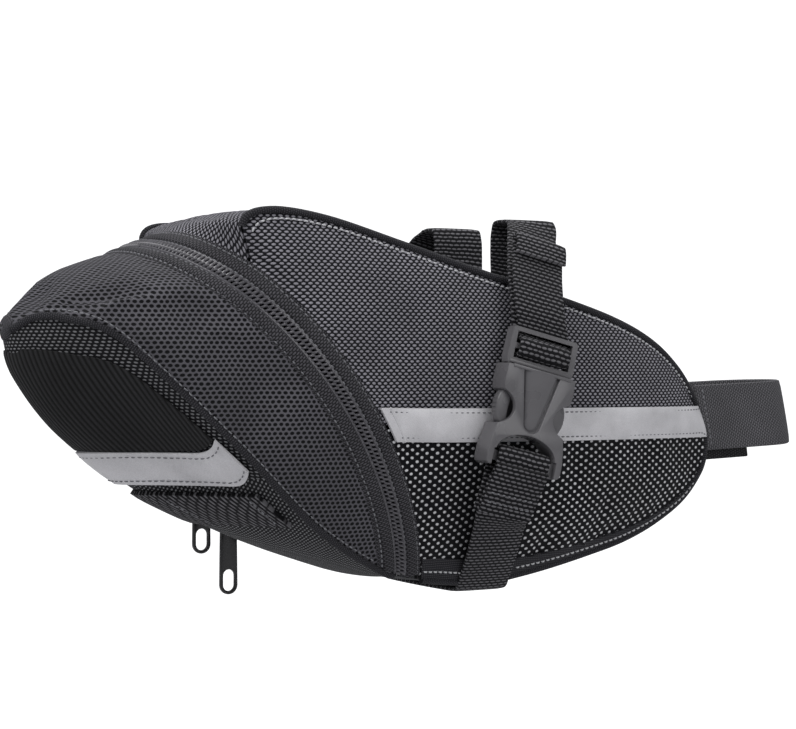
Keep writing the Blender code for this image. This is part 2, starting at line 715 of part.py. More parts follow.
def make_socket(side, hand):
    """The buckle's socket: waisted sides that bare the plug's arms, a mouth, and a foot with a bar."""
    at, _, _ = buckle_frame(side)
    waist = arc((15.2 * MM, 18.3 * MM), (8.4 * MM, 5.6 * MM), 115.0, 245.0, 8)
    right = mm_points((11.9, 31.0), (12.1, 26.0)) + waist
    right += mm_points((12.4, 9.6), (13.0, 6.0), (13.0, 2.6), (11.8, 1.2))
    outline = [(-x, z) for x, z in right] + [(x, z) for x, z in reversed(right)]
    socket = add_solid(f"buckle_socket_{hand}", *prism(outline, 0.0, BUCKLE_THICK, at), "plastic")
    mouth = prism(rectangle(-10.7, 10.7, 12.4, 33.0), 1.4 * MM, 5.6 * MM, at)
    arch = arc((0.0, 5.6 * MM), (10.4 * MM, 6.0 * MM), 0.0, 180.0, 10)
    foot = rectangle(-9.9, 9.9, -1.0, 2.6)
    over = mm_points((-11.0, -1.0), (11.0, -1.0), (11.0, 6.0), (-11.0, 6.0))
    cut(
        socket,
        mouth,
        prism(arch, -1.0 * MM, BUCKLE_THICK + 1.0 * MM, at),
        prism(foot, -1.0 * MM, BUCKLE_THICK + 1.0 * MM, at),
        prism(over, 5.4 * MM, BUCKLE_THICK + 1.0 * MM, at),
        prism(rectangle(-9.9, 9.9, -1.0, 5.8), -1.0 * MM, 2.5 * MM, at),
    )


def make_plug(side, hand):
    """The buckle's plug: a ladder for the webbing, a shoulder, a neck and two spring arms."""
    at, _, _ = buckle_frame(side)
    origin = at(0.0, 3.5 * MM, 31.4 * MM)
    outline = mm_points((-11.4, 31.4), (11.4, 31.4), (11.8, 33.0), (11.6, 41.6), (10.8, 42.4))
    outline += mm_points((-10.8, 42.4), (-11.6, 41.6), (-11.8, 33.0))
    plug = add_solid(f"buckle_plug_{hand}", *prism(outline, 1.9 * MM, 5.1 * MM, at), "plastic", origin)
    join(plug, prism(rectangle(-4.6, 4.6, 14.0, 32.0), 2.1 * MM, 4.9 * MM, at))
    cut(
        plug,
        prism(rectangle(-9.8, 9.8, 33.2, 36.0), 0.0, 8.0 * MM, at),
        prism(rectangle(-9.8, 9.8, 37.6, 41.1), 0.0, 8.0 * MM, at),
        prism(rectangle(-9.8, 9.8, 40.5, 44.0), 0.0, 3.8 * MM, at),
    )
    for number, name in ((-1, "rear"), (1, "front")):
        arm = mm_points((7.0, 31.0), (10.1, 31.0), (10.2, 23.2), (11.6, 21.9), (12.0, 18.8), (11.2, 15.4))
        arm += mm_points((9.4, 13.0), (7.6, 13.2), (7.9, 18.0), (7.3, 23.0))
        arm = [(number * x, z) for x, z in arm]
        root = at(number * 8.6 * MM, 3.5 * MM, 31.0 * MM)
        add_solid(f"plug_arm_{name}_{hand}", *prism(arm, 1.9 * MM, 5.1 * MM, at), "plastic", root)


def make_rail_strap(side, hand):
    """The webbing from the bag's top over the rail, down to the ladder, round its bar and up again."""
    at, up, _ = buckle_frame(side)
    lean = np.array([np.cos(BUCKLE_LEAN), 0.0, -np.sin(BUCKLE_LEAN)])
    straight = np.array([1.0, 0.0, 0.0])
    seat = WEBBING_THICK / MM / 2
    rail = RAIL_HALF_SPACING
    path, across = [], []

    def add(point, way):
        path.append(point)
        across.append(np.asarray(way, float))

    station = solve(lambda s: top_point(s, 0.0)[0], 0.0, FRONT_EDGE, NOSE)
    rise = top_point(station, 0.0)[2] / MM + PATTERN_ORIGIN[1] + 0.4 + seat
    for y, z in ((32.0, rise), (20.6, rise), (18.4, rise + 0.7), (17.3, rise + 2.6)):
        add(pattern(32.0, side * y, z), lean)
    for y, z in ((17.2, 38.0), (17.8, 41.4), (19.0, 42.8 + seat), (rail + 3.0, 42.8 + seat)):
        add(pattern(32.0, side * y, z), straight)
    half_way = unit(straight + lean)
    add(pattern(32.0, side * (rail + 4.7), 42.0), half_way)
    add(pattern(30.4, side * (rail + 7.2), 39.2), lean)
    add(pattern(23.8, side * 39.9, 25.6), lean)
    ladder = [
        (1.1, 47.5), (1.05, 36.8), (1.3, 35.0), (3.3, 34.5), (5.7, 34.6),
        (6.3, 36.2), (6.1, 38.3), (4.6, 39.3), (2.95, 40.6), (2.8, 43.0), (2.8, 48.5),
    ]
    for depth, z in ladder:
        shift = -2.4 * MM if z > 47.0 else 0.0
        add(at(shift, depth * MM, z * MM), lean)
    tail = side * np.array([0.0, 1.0, 0.0]) * (WEBBING_THICK + 2 * GAP)
    upper = [pattern(23.8, side * 39.9, 25.6), pattern(25.8, side * 36.8, 31.0)]
    for point in upper:
        add(point + tail * 1.45, lean)
    end = pattern(27.4, side * 34.2, 36.0) + tail * 1.5
    add(end, lean)
    fold = side * np.array([0.0, 1.0, 0.0]) * (WEBBING_THICK + GAP) * 1.3
    add(end + fold * 0.5 + up * 1.0 * MM, lean)
    add(end + fold * 1.15 - up * 0.4 * MM, lean)
    add(pattern(25.9, side * 36.6, 31.6) + tail * 1.45 + fold, lean)
    add_solid(f"rail_strap_{hand}", *band(path, across, WEBBING, WEBBING_THICK), "webbing")


def make_belly_strap():
    """The webbing that joins the two sockets under the belly, looped and sewn at both bars."""
    path, across = [], []
    straight = np.array([1.0, 0.0, 0.0])
    right = []
    at, _, _ = buckle_frame(-1)
    lean = np.array([np.cos(BUCKLE_LEAN), 0.0, -np.sin(BUCKLE_LEAN)])
    for depth, z in ((-0.9, -12.0), (0.6, -4.0), (0.8, 2.5), (0.95, 5.6), (2.6, 7.0), (5.4, 6.9),
                     (6.7, 5.2), (6.2, 2.0), (4.0, -3.0), (1.2, -11.0)):
        right.append((at(0.0, depth * MM, z * MM), lean))
    for x, y, z in ((12.6, 38.6, -49.0), (13.8, 33.4, -56.0), (15.4, 25.6, -65.0),
                    (16.0, 23.0, -67.4), (16.2, 19.5, -68.2)):
        right.append((pattern(x, -y, z), straight))
    for point, way in right:
        path.append(point)
        across.append(way)
    for point, way in reversed(right):
        path.append(point * np.array([1.0, -1.0, 1.0]))
        across.append(way)
    add_solid("belly_strap", *band(path, across, WEBBING, WEBBING_THICK), "webbing")


def make_post_strap():
    """The hook-and-loop strap round the seat post: a long strap and the short tab it presses on."""
    lean = np.array([-np.sin(POST_STRAP_LEAN), 0.0, np.cos(POST_STRAP_LEAN)])
    centre, radius = POST_STRAP_ROUND

    def at(x, y, z):
        return pattern(x, y, z)

    def height(x):
        return -17.6 + 1.8 * (x - 104.0) / 44.0

    path = [at(x, radius, height(x)) for x in (104.4, 119.0, centre)]
    for angle in np.radians(np.arange(70.0, -91.0, -20.0)):
        x = centre + radius * np.cos(angle)
        path.append(at(x, radius * np.sin(angle), height(x)))
    path += [at(x, -radius, height(x)) for x in (119.0, 104.9)]
    strap = band(path, [lean] * len(path), POST_STRAP, POST_STRAP_THICK)
    add_solid("post_strap", *strap, "webbing", path[0])
    inner = radius - POST_STRAP_THICK / MM - 0.4
    tab = [at(x, -inner, height(x) - 3.2) for x in (104.2, 112.0, 124.0)]
    shape = band(tab, [lean] * len(tab), POST_STRAP, POST_STRAP_THICK)
    add_solid("post_strap_tab", *shape, "webbing")


def main():
    clear_scene()
    for side, hand in ((-1, "right"), (1, "left")):
        make_side(side, hand)
    make_gusset()
    make_piping()
    make_lining()
    make_stiffener()
    make_zip()
    make_tail()
    for side, hand in ((-1, "right"), (1, "left")):
        make_socket(side, hand)
        make_plug(side, hand)
        make_rail_strap(side, hand)
    make_belly_strap()
    make_post_strap()


main()
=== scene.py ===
"""Saddle bag for a bicycle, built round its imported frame.

Metres throughout, +X towards the nose, +Y the bicycle's left, +Z up. The sections follow the bag as
it is put together: room and camera, the sewn shell, bound edges, reflective strips, the zip and its
sliders, the tail cap, the straps, the buckles, the lining.
"""

import math

import bpy
import numpy as np
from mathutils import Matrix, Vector


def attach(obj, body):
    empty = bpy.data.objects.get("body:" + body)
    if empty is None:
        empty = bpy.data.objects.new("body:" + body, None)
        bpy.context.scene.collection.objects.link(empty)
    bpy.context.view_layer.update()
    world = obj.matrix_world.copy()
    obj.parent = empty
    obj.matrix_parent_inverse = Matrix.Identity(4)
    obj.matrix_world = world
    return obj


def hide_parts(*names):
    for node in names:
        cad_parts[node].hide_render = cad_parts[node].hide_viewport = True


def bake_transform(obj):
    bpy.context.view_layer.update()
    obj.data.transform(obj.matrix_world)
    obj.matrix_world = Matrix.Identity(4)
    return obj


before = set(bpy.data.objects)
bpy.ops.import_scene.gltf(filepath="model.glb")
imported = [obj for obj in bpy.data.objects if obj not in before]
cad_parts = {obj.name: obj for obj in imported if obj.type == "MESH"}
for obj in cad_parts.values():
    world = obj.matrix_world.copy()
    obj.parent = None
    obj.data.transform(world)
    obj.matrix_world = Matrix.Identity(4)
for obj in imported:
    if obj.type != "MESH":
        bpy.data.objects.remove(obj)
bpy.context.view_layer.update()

# ------------------------------------------------------------------------------------------------
# Room and camera. A pale sweep of paper, four soft lamps, of which the largest is behind and above,
# and a long lens a little behind the bag's right flank, level with it.
# ------------------------------------------------------------------------------------------------

MM = 0.001
MIDDLE = Vector((-0.032, 0.0, -0.0428))
CAMERA_TURN = math.radians(-29.0)
CAMERA_DISTANCE = 0.62
LENS, SENSOR = 90.45, 36.0
FLOOR = -0.205


def select_only(*pieces):
    """Selects some pieces and nothing else. The first is the active one."""
    bpy.ops.object.select_all(action="DESELECT")
    bpy.context.view_layer.objects.active = pieces[0]
    for piece in pieces:
        piece.select_set(True)


def mesh_object(name, points, faces, material=None, uvs=None):
    """A mesh from points in metres, with an optional place on the cloth, in millimetres, per point."""
    mesh = bpy.data.meshes.new(name)
    mesh.from_pydata([tuple(map(float, p)) for p in points], [], faces)
    mesh.update()
    if uvs is not None:
        layer = mesh.uv_layers.new(name="cloth")
        for loop in mesh.loops:
            layer.data[loop.index].uv = uvs[loop.vertex_index]
    made = bpy.data.objects.new(name, mesh)
    bpy.context.scene.collection.objects.link(made)
    if material:
        mesh.materials.append(material)
    mesh.shade_smooth()
    return made


def node(tree, kind, *links, **values):
    """Adds a shader node. Links are (input, source) pairs, where a source is a socket or a value."""
    made = tree.nodes.new("ShaderNode" + kind)
    for name, value in values.items():
        setattr(made, name, value)
    for socket, source in links:
        if isinstance(source, bpy.types.NodeSocket):
            tree.links.new(source, made.inputs[socket])
        else:
            made.inputs[socket].default_value = source
    return made


def maths(tree, operation, *sources):
    """A Math node's result."""
    return node(tree, "Math", *enumerate(sources), operation=operation).outputs[0]


def feed(shader, **sources):
    """Links values, colours or normals that change over the surface to the shader's sockets."""
    for socket, source in sources.items():
        shader.id_data.links.new(source, shader.inputs[socket.replace("_", " ")])


def finish_material(name, roughness=0.8, **sockets):
    """A new material with its Principled shader, whose plain sockets are set by name."""
    made = bpy.data.materials.new(name)
    made.use_nodes = True
    shader = made.node_tree.nodes["Principled BSDF"]
    shader.inputs["Roughness"].default_value = roughness
    for socket, value in sockets.items():
        shader.inputs[socket.replace("_", " ")].default_value = value
    return made, made.node_tree, shader


paper, tree, shader = finish_material("studio_paper", 0.9)
grain = node(tree, "TexNoise", ("Scale", 900.0), ("Detail", 2.0))
tint = node(tree, "ValToRGB", (0, grain.outputs[0]))
tint.color_ramp.elements[0].color = (0.50, 0.50, 0.51, 1.0)
tint.color_ramp.elements[1].color = (0.56, 0.56, 0.57, 1.0)
shader.inputs["Emission Color"].default_value = (1.0, 1.0, 1.0, 1.0)
seen = node(tree, "LightPath").outputs["Is Camera Ray"]
feed(shader, Base_Color=tint.outputs[0], Emission_Strength=maths(tree, "MULTIPLY", seen, 0.80))

NEAR, FAR, BEND, HIGH, HALF_WIDE = -2.4, 0.9, 0.7, 2.6, 3.2
profile = [(NEAR, 0.0), (FAR, 0.0)]
profile += [(FAR + BEND * math.sin(a), BEND * (1 - math.cos(a))) for a in np.radians(range(10, 91, 10))]
profile += [(FAR + BEND, HIGH)]
ahead = np.array([-math.sin(CAMERA_TURN), math.cos(CAMERA_TURN)])
aside = np.array([ahead[1], -ahead[0]])
points = []
for run, rise in profile:
    for wide in (-HALF_WIDE, HALF_WIDE):
        x, y = ahead * run + aside * wide + np.array(MIDDLE)[:2]
        points.append((x, y, FLOOR + rise))
faces = [(2 * i, 2 * i + 1, 2 * i + 3, 2 * i + 2) for i in range(len(profile) - 1)]
sweep = mesh_object("studio_sweep", points, faces, paper)

camera = bpy.data.objects.new("camera", bpy.data.cameras.new("camera"))
bpy.context.scene.collection.objects.link(camera)
camera.data.lens = LENS
camera.data.sensor_width = SENSOR
camera.data.clip_start = 0.02
camera.rotation_euler = (math.pi / 2, 0.0, CAMERA_TURN)
camera.location = MIDDLE - Vector((*ahead, 0.0)) * CAMERA_DISTANCE
bpy.context.scene.camera = camera


def lamp(name, turn, rise, away, size, power):
    """A square soft lamp that points at the bag. Turn is measured from the camera, to its right."""
    light = bpy.data.lights.new(name, "AREA")
    light.size = size
    light.energy = power
    made = bpy.data.objects.new(name, light)
    bpy.context.scene.collection.objects.link(made)
    angle = math.radians(turn)
    level = Vector((*(-ahead * math.cos(angle) + aside * math.sin(angle)), 0.0))
    way = level * math.cos(math.radians(rise)) + Vector((0, 0, math.sin(math.radians(rise))))
    made.location = MIDDLE + way * away
    made.rotation_euler = (-way).to_track_quat("-Z", "Y").to_euler()


lamp("key_lamp", -38.0, 48.0, 1.1, 0.55, 7.0)
lamp("fill_lamp", 52.0, 22.0, 1.2, 0.8, 3.2)
lamp("top_lamp", 160.0, 66.0, 1.3, 1.0, 9.0)
lamp("low_lamp", -70.0, -4.0, 1.2, 0.7, 0.4)
world = bpy.data.worlds.new("studio")
bpy.context.scene.world = world
world.use_nodes = True
sky = world.node_tree.nodes["Background"]
sky.inputs["Color"].default_value = (0.95, 0.97, 1.0, 1.0)
sky.inputs["Strength"].default_value = 0.30
bpy.context.scene.view_settings.view_transform = "Standard"

# ------------------------------------------------------------------------------------------------
# The sewn shell. Foam-backed polyester is cut to a wedge pattern: two sides of two fabrics each, a
# top, a nose and a bottom. The pattern is a row of cross-sections from the tail tip to the nose,
# each leaning like the zip, in millimetres about the wedge's middle.
# ------------------------------------------------------------------------------------------------

SEAT = (32.0, 42.8)
CUTS = np.array([
    # top x, top z, bottom x, bottom z, bow, top edge, its drop, upper, lower, bottom edge, its rise
    (-124.6, 14.2, -125.4, 6.2, 0.0, 3.8, 1.8, 5.0, 5.2, 4.8, 3.6),
    (-121.5, 17.4, -120.6, -4.0, 0.5, 9.0, 2.2, 11.4, 12.0, 11.6, 17.0),
    (-117.0, 21.0, -109.5, -18.0, 2.0, 17.0, 4.2, 20.0, 21.0, 20.4, 31.0),
    (-110.5, 25.0, -91.0, -33.5, 6.0, 25.0, 8.2, 33.0, 33.6, 30.5, 41.0),
    (-103.0, 28.6, -66.0, -46.0, 12.0, 31.5, 12.5, 45.0, 44.0, 39.5, 24.0),
    (-98.0, 30.6, -44.0, -54.8, 15.5, 34.0, 14.5, 50.0, 46.5, 36.5, 8.5),
    (-94.2, 32.0, -22.5, -61.9, 18.0, 36.0, 16.0, 53.0, 48.0, 30.0, 2.2),
    (-86.6, 34.4, -15.0, -63.4, 18.5, 36.5, 16.0, 53.5, 48.0, 28.0, 1.2),
    (-78.6, 38.4, -7.5, -64.6, 18.5, 36.0, 15.0, 53.0, 47.5, 26.8, 1.0),
    (-73.0, 42.2, 0.0, -65.4, 17.0, 37.0, 4.5, 51.5, 47.5, 25.5, 0.8),
    (-63.0, 43.4, 6.0, -66.0, 14.0, 38.3, 0.8, 49.5, 47.5, 24.5, 0.8),
    (-45.0, 41.0, 11.0, -66.4, 10.0, 38.5, 0.0, 48.5, 47.0, 23.5, 0.8),
    (-20.0, 34.4, 18.0, -66.4, 5.0, 38.0, 0.0, 47.0, 46.5, 22.8, 0.8),
    (6.0, 27.2, 27.0, -65.3, 2.0, 37.0, 0.0, 45.8, 45.8, 22.4, 0.8),
    (32.0, 20.6, 40.0, -62.8, 0.0, 35.6, 0.0, 44.0, 43.8, 22.2, 0.6),
    (57.0, 13.8, 55.0, -59.2, 0.0, 32.6, 0.0, 40.0, 39.8, 22.0, 0.4),
    (74.0, 7.2, 69.0, -55.2, 0.0, 29.2, 0.0, 35.6, 35.2, 22.0, 0.2),
    (86.0, -0.6, 81.4, -49.8, 0.0, 26.2, 0.0, 31.2, 31.0, 21.8, 0.0),
    (94.4, -9.4, 92.2, -43.0, 0.0, 23.8, 0.0, 27.4, 27.2, 21.6, 0.0),
    (99.8, -18.2, 99.2, -35.0, 0.0, 22.2, 0.0, 24.0, 24.0, 21.4, 0.0),
    (101.6, -23.8, 101.6, -29.4, 0.0, 21.8, 0.0, 22.4, 22.4, 21.4, 0.0),
])
TIP, ZIP, FRONT_EDGE, NOSE = 0.0, 7.0, 8.0, 20.0
CLOTH = 1.4 * MM


def smooth(t, here, there, out, back):
    """A share of the way from here to there, leaving and arriving with two given slopes."""
    value = (2 * t**3 - 3 * t**2 + 1) * here + (t**3 - 2 * t**2 + t) * out
    return value + (-2 * t**3 + 3 * t**2) * there + (t**3 - t**2) * back


def measures(s):
    """A cross-section's measures at any station, on a smooth curve through the cuts."""
    s = min(max(s, 0.0), NOSE)
    i = min(int(s), len(CUTS) - 2)
    before, here, there, after = (CUTS[min(max(i + k, 0), len(CUTS) - 1)] for k in (-1, 0, 1, 2))
    return smooth(s - i, here, there, (there - before) / 2, (after - here) / 2)


def chord(m):
    return math.hypot(m[2] - m[0], m[3] - m[1])


def place(m, width, depth, side):
    """A point of a cross-section, from its half width and its depth under the section's top."""
    length = chord(m)
    t = depth / length
    way = np.array([m[2] - m[0], m[3] - m[1]]) / length
    x, z = np.array([m[0], m[1]]) + way * depth + np.array([-way[1], way[0]]) * m[4] * 2 * t * (1 - t)
    return np.array([(x - SEAT[0]) * MM, side * width * MM, (z - SEAT[1]) * MM])


def bezier(controls, t):
    points = [np.array(c, float) for c in controls]
    while len(points) > 1:
        points = [a + (b - a) * t for a, b in zip(points[:-1], points[1:])]
    return points[0]


def flank(s, q, side):
    """The side's outer surface, from its top edge at q of 0 to its bottom edge at 1."""
    m = measures(s)
    length = chord(m)
    span = length - m[10] - m[6]
    controls = [(m[5], m[6]), (m[7], m[6] + 0.22 * span), (m[8], m[6] + 0.75 * span)]
    return place(m, *bezier([*controls, (m[9], length - m[10])], q), side)


def crown(s, v):
    """The top's surface between its two edges, at v of -1 and 1."""
    m = measures(s)
    return place(m, *bezier([(0, 0), (0.62 * m[5], 0), (m[5], m[6])], abs(v)), np.sign(v) or 1.0)


def belly(s, v):
    """The bottom's surface, and the tail's rear surface, between its two edges."""
    m = measures(s)
    length = chord(m)
    controls = [(0, length), (m[9] / 2, length), (m[9], length - m[10])]
    return place(m, *bezier(controls, abs(v)), np.sign(v) or 1.0)


TOP_SHARE = 0.3


def arch(s, v):
    """Both sides and the top in one, from the right bottom edge at -1 to the left one at 1."""
    if abs(v) <= TOP_SHARE:
        return crown(s, v / TOP_SHARE)
    return flank(s, (abs(v) - TOP_SHARE) / (1 - TOP_SHARE), np.sign(v))


def right_flank(s, q):
    return flank(s, q, -1)


def left_flank(s, q):
    return flank(s, q, 1)


def unit(vector):
    vector = np.asarray(vector, float)
    return vector / np.linalg.norm(vector)


def facing(surface, s, v, low=-1.0, high=1.0):
    """A surface's point and its outward normal."""
    step = 0.004
    s0, s1 = max(s - step, 0.0), min(s + step, NOSE)
    v0, v1 = max(v - step, low), min(v + step, high)
    normal = unit(np.cross(surface(s1, v) - surface(s0, v), surface(s, v1) - surface(s, v0)))
    m = measures(s)
    point = surface(s, v)
    heart = place(m, 0.0, chord(m) / 2, 1)
    return point, normal * (np.sign(np.dot(normal, point - heart)) or 1.0)


def solve(function, target, low, high):
    """Where a steadily changing function reaches a target, by halving."""
    rising = function(high) > function(low)
    for _ in range(26):
        middle = (low + high) / 2
        if (function(middle) < target) == rising:
            low = middle
        else:
            high = middle
    return (low + high) / 2


def level(z):
    return (z - SEAT[1]) * MM


def spaced(low, high, count):
    return [float(x) for x in np.linspace(low, high, count)]


def swell(point, size):
    """The slow unevenness of hand-sewn cloth over foam: a few crossing waves, the same on each run."""
    x, y, z = point / MM
    waves = math.sin(x / 13 + 0.7 * math.sin(z / 17) + y / 40) + 0.7 * math.sin(z / 9 + x / 21 + y / 31)
    return size * (waves + 0.4 * math.sin(x / 5.1 + z / 7.3)) / 2.1


def grid_faces(rows, columns):
    """The quads between a grid's points."""
    corners = [i * columns + j for i in range(rows - 1) for j in range(columns - 1)]
    return [(k, k + 1, k + columns + 1, k + columns) for k in corners]


CLOTH_PRESSURE, CLOTH_STEPS = 4.0, 20


def bulged(points, ways, rows, columns, extra):
    """How far cloth that is cut a little too large stands out, held at its seams and pressed by foam."""
    quads = grid_faces(rows, columns)
    made = mesh_object("trial_cloth", points, quads)
    half = len(quads) // 2
    if made.data.polygons[half].normal.dot(Vector(ways[quads[half][0]])) < 0:
        made.data.flip_normals()
    at_seam = ((0, rows - 1), (0, columns - 1))
    held = [k for k in range(rows * columns) if k // columns in at_seam[0] or k % columns in at_seam[1]]
    made.vertex_groups.new(name="sewn").add(held, 1.0, "ADD")
    cloth = made.modifiers.new("cloth", "CLOTH")
    cloth.settings.vertex_group_mass = "sewn"
    cloth.settings.quality = 5
    cloth.settings.use_pressure = True
    cloth.settings.uniform_pressure_force = CLOTH_PRESSURE
    cloth.settings.shrink_min = -extra
    cloth.settings.effector_weights.gravity = 0.0
    cloth.collision_settings.use_collision = False
    cloth.point_cache.frame_start, cloth.point_cache.frame_end = 1, CLOTH_STEPS
    for step in range(1, CLOTH_STEPS + 1):
        bpy.context.scene.frame_set(step)
    settled = made.evaluated_get(bpy.context.evaluated_depsgraph_get()).data
    moved = [float(np.dot(np.array(v.co) - p, w)) for v, p, w in zip(settled.vertices, points, ways)]
    bpy.data.objects.remove(made)
    return moved


def lifted(found, lift):
    """Points raised by so many millimetres along their normals, and those normals."""
    return [p + n * lift * MM for p, n in found], [n for _, n in found]


def sheet(
    name, surface, grid, material, uv, lift=0.0, thick=CLOTH, puff=0.0, ripple=0.0, limits=(-1.0, 1.0),
    extra=0.0, press=None
):
    """Cloth laid on a surface: a grid of (s, v) places, thick inwards, closed round its cut edges.

    Puff raises its middle between the seams, and ripple adds the unevenness of the sewing. With
    extra, a cloth simulation shapes the bulge, up to puff. Press holds it down under the straps."""
    rows, columns = len(grid), len(grid[0])
    found = [facing(surface, s, v, *limits) for row in grid for s, v in row]
    moved = [puff] * len(found)
    if extra:
        stands = bulged(*lifted(found, 0.0), rows, columns, extra)
        moved = [puff * math.tanh(m / puff) for m in stands]
    outer, inner, cloth = [], [], []
    for place_number, (point, normal) in enumerate(found):
        i, j = divmod(place_number, columns)
        a, b = i / (rows - 1), j / (columns - 1)
        free = (16 * a * (1 - a) * b * (1 - b)) ** 0.6
        rise = moved[place_number] * min(1.0, 1.3 * free) + swell(point, ripple) * min(1.0, 1.6 * free)
        if press:
            rise *= press(point)
        outer.append(point + normal * (lift + rise))
        inner.append(point + normal * (lift + rise - thick))
        cloth.append(uv(*grid[i][j], outer[-1]))
    count = rows * columns
    faces = []
    for quad in grid_faces(rows, columns):
        faces += [quad, tuple(count + k for k in reversed(quad))]
    border = list(range(columns))
    border += [i * columns + columns - 1 for i in range(1, rows)]
    border += [(rows - 1) * columns + j for j in range(columns - 2, -1, -1)]
    border += [i * columns for i in range(rows - 2, 0, -1)]
    for a, b in zip(border, border[1:] + border[:1]):
        faces.append((b, a, count + a, count + b))
    made = mesh_object(name, outer + inner, faces, material, cloth + cloth)
    return outward(made)


STRAP_HEIGHTS, STRAP_PLACES = (-111, -92, -75, -40, -18, 0), (-16.0, -19.4, -18.9, -10.5, -7.5, 0.0)
HELD, FREE = 9.0, 25.0


def under_straps(point):
    """Near the rail strap and the buckle the cloth is held down: 0 under them, 1 away from them."""
    middle = float(np.interp(point[2] / MM, STRAP_HEIGHTS, STRAP_PLACES))
    away = min(max((abs(point[0] / MM - middle) - HELD) / (FREE - HELD), 0.0), 1.0)
    return away * away * (3 - 2 * away)


def outward(made):
    """Turns a closed mesh's faces outwards, in edit mode."""
    select_only(made)
    bpy.ops.object.mode_set(mode="EDIT")
    bpy.ops.mesh.select_all(action="SELECT")
    bpy.ops.mesh.normals_make_consistent(inside=False)
    bpy.ops.object.mode_set(mode="OBJECT")
    bpy.ops.object.shade_smooth_by_angle(angle=math.radians(50))
    return made


def new_group(name, inputs, outputs):
    """A shader node group with named number inputs and outputs, and a Vector input for the cloth."""
    group = bpy.data.node_groups.new(name, "ShaderNodeTree")
    group.interface.new_socket("Vector", in_out="INPUT", socket_type="NodeSocketVector")
    for label, value in inputs.items():
        group.interface.new_socket(
            label, in_out="INPUT", socket_type="NodeSocketFloat"
        ).default_value = value
    for label in outputs:
        group.interface.new_socket(label, in_out="OUTPUT", socket_type="NodeSocketFloat")
    return group, group.nodes.new("NodeGroupInput").outputs, group.nodes.new("NodeGroupOutput").inputs


def use(tree, group, vector, **values):
    made = node(tree, "Group", node_tree=group)
    tree.links.new(vector, made.inputs["Vector"])
    for name, value in values.items():
        made.inputs[name].default_value = value
    return made


def mixed(tree, factor, first, second, **kind):
    """A colour between two, each of them a socket or three numbers."""
    pair = [(*colour, 1.0) if isinstance(colour, tuple) else colour for colour in (first, second)]
    return node(
        tree, "Mix", ("Factor", factor), (6, pair[0]), (7, pair[1]), data_type="RGBA", **kind
    ).outputs[2]


def ranged(tree, value, low, high, start=0.3, end=0.7, **kind):
    """A value's run from start to end, spread from low to high."""
    return node(tree, "MapRange", (0, value), (1, start), (2, end), (3, low), (4, high), **kind).outputs[0]


def bumped(tree, strength, distance, height):
    """The normal of a bumpy surface, with its height in millimetres."""
    return node(
        tree, "Bump", ("Strength", strength), ("Distance", distance * MM), ("Height", height)
    ).outputs[0]


def cloth_place(tree):
    """Where a point lies on the cloth as cut, in millimetres."""
    return node(tree, "UVMap", uv_map="cloth").outputs[0]


# Threads that surface in staggered rows, as spots of a given size. Spots is 1 on a thread.
spotted, given, result = new_group(
    "staggered_spots", {"Column": 2.0, "Row": 1.0, "Width": 1.0, "Height": 0.6}, ("Spots", "Relief")
)
wobble = node(spotted, "TexNoise", ("Vector", given["Vector"]), ("Scale", 0.22), ("Detail", 1.0))
drift = node(spotted, "VectorMath", (0, wobble.outputs[1]), (1, (0.5, 0.5, 0.5)), operation="SUBTRACT")
bent = node(
    spotted, "VectorMath", (0, drift.outputs[0]), (1, (0.7, 0.5, 0.0)), (2, given["Vector"]),
    operation="MULTIPLY_ADD"
)
parts = node(spotted, "SeparateXYZ", (0, bent.outputs[0]))
row = maths(spotted, "DIVIDE", parts.outputs[1], given["Row"])
odd = maths(spotted, "FLOORED_MODULO", maths(spotted, "FLOOR", row), 2.0)
odd = maths(spotted, "MULTIPLY", odd, 0.5)
column = maths(spotted, "ADD", maths(spotted, "DIVIDE", parts.outputs[0], given["Column"]), odd)
across = maths(spotted, "SUBTRACT", maths(spotted, "FRACT", column), 0.5)
along = maths(spotted, "SUBTRACT", maths(spotted, "FRACT", row), 0.5)
wide = maths(spotted, "DIVIDE", maths(spotted, "MULTIPLY", across, given["Column"]), given["Width"])
tall = maths(spotted, "DIVIDE", maths(spotted, "MULTIPLY", along, given["Row"]), given["Height"])
squares = [maths(spotted, "MULTIPLY", share, share) for share in (wide, tall)]
away = maths(spotted, "SQRT", maths(spotted, "ADD", *squares))
edge = ranged(spotted, away, 1.0, 0.0, 0.36, 0.60, interpolation_type="SMOOTHSTEP")
spotted.links.new(edge, result["Spots"])
dome = maths(spotted, "MULTIPLY", edge, maths(spotted, "SUBTRACT", 1.15, away))
spotted.links.new(dome, result["Relief"])

# Fine crossing yarns and slow patches of handling and dust.
worn, given, result = new_group("handled_cloth", {"Yarn": 0.45, "Patch": 22.0}, ("Yarns", "Patches"))
parts = node(worn, "SeparateXYZ", (0, given["Vector"]))
turns = maths(worn, "DIVIDE", 2 * math.pi, given["Yarn"])
weft = maths(worn, "SINE", maths(worn, "MULTIPLY", parts.outputs[0], turns))
warp = maths(worn, "SINE", maths(worn, "MULTIPLY", parts.outputs[1], turns))
crossed = maths(worn, "MULTIPLY_ADD", maths(worn, "MULTIPLY", weft, warp), 0.5, 0.5)
worn.links.new(crossed, result["Yarns"])
scale = maths(worn, "DIVIDE", 1.0, given["Patch"])
patch = node(worn, "TexNoise", ("Vector", given["Vector"]), ("Scale", scale), ("Detail", 4.0))
worn.links.new(patch.outputs[0], result["Patches"])


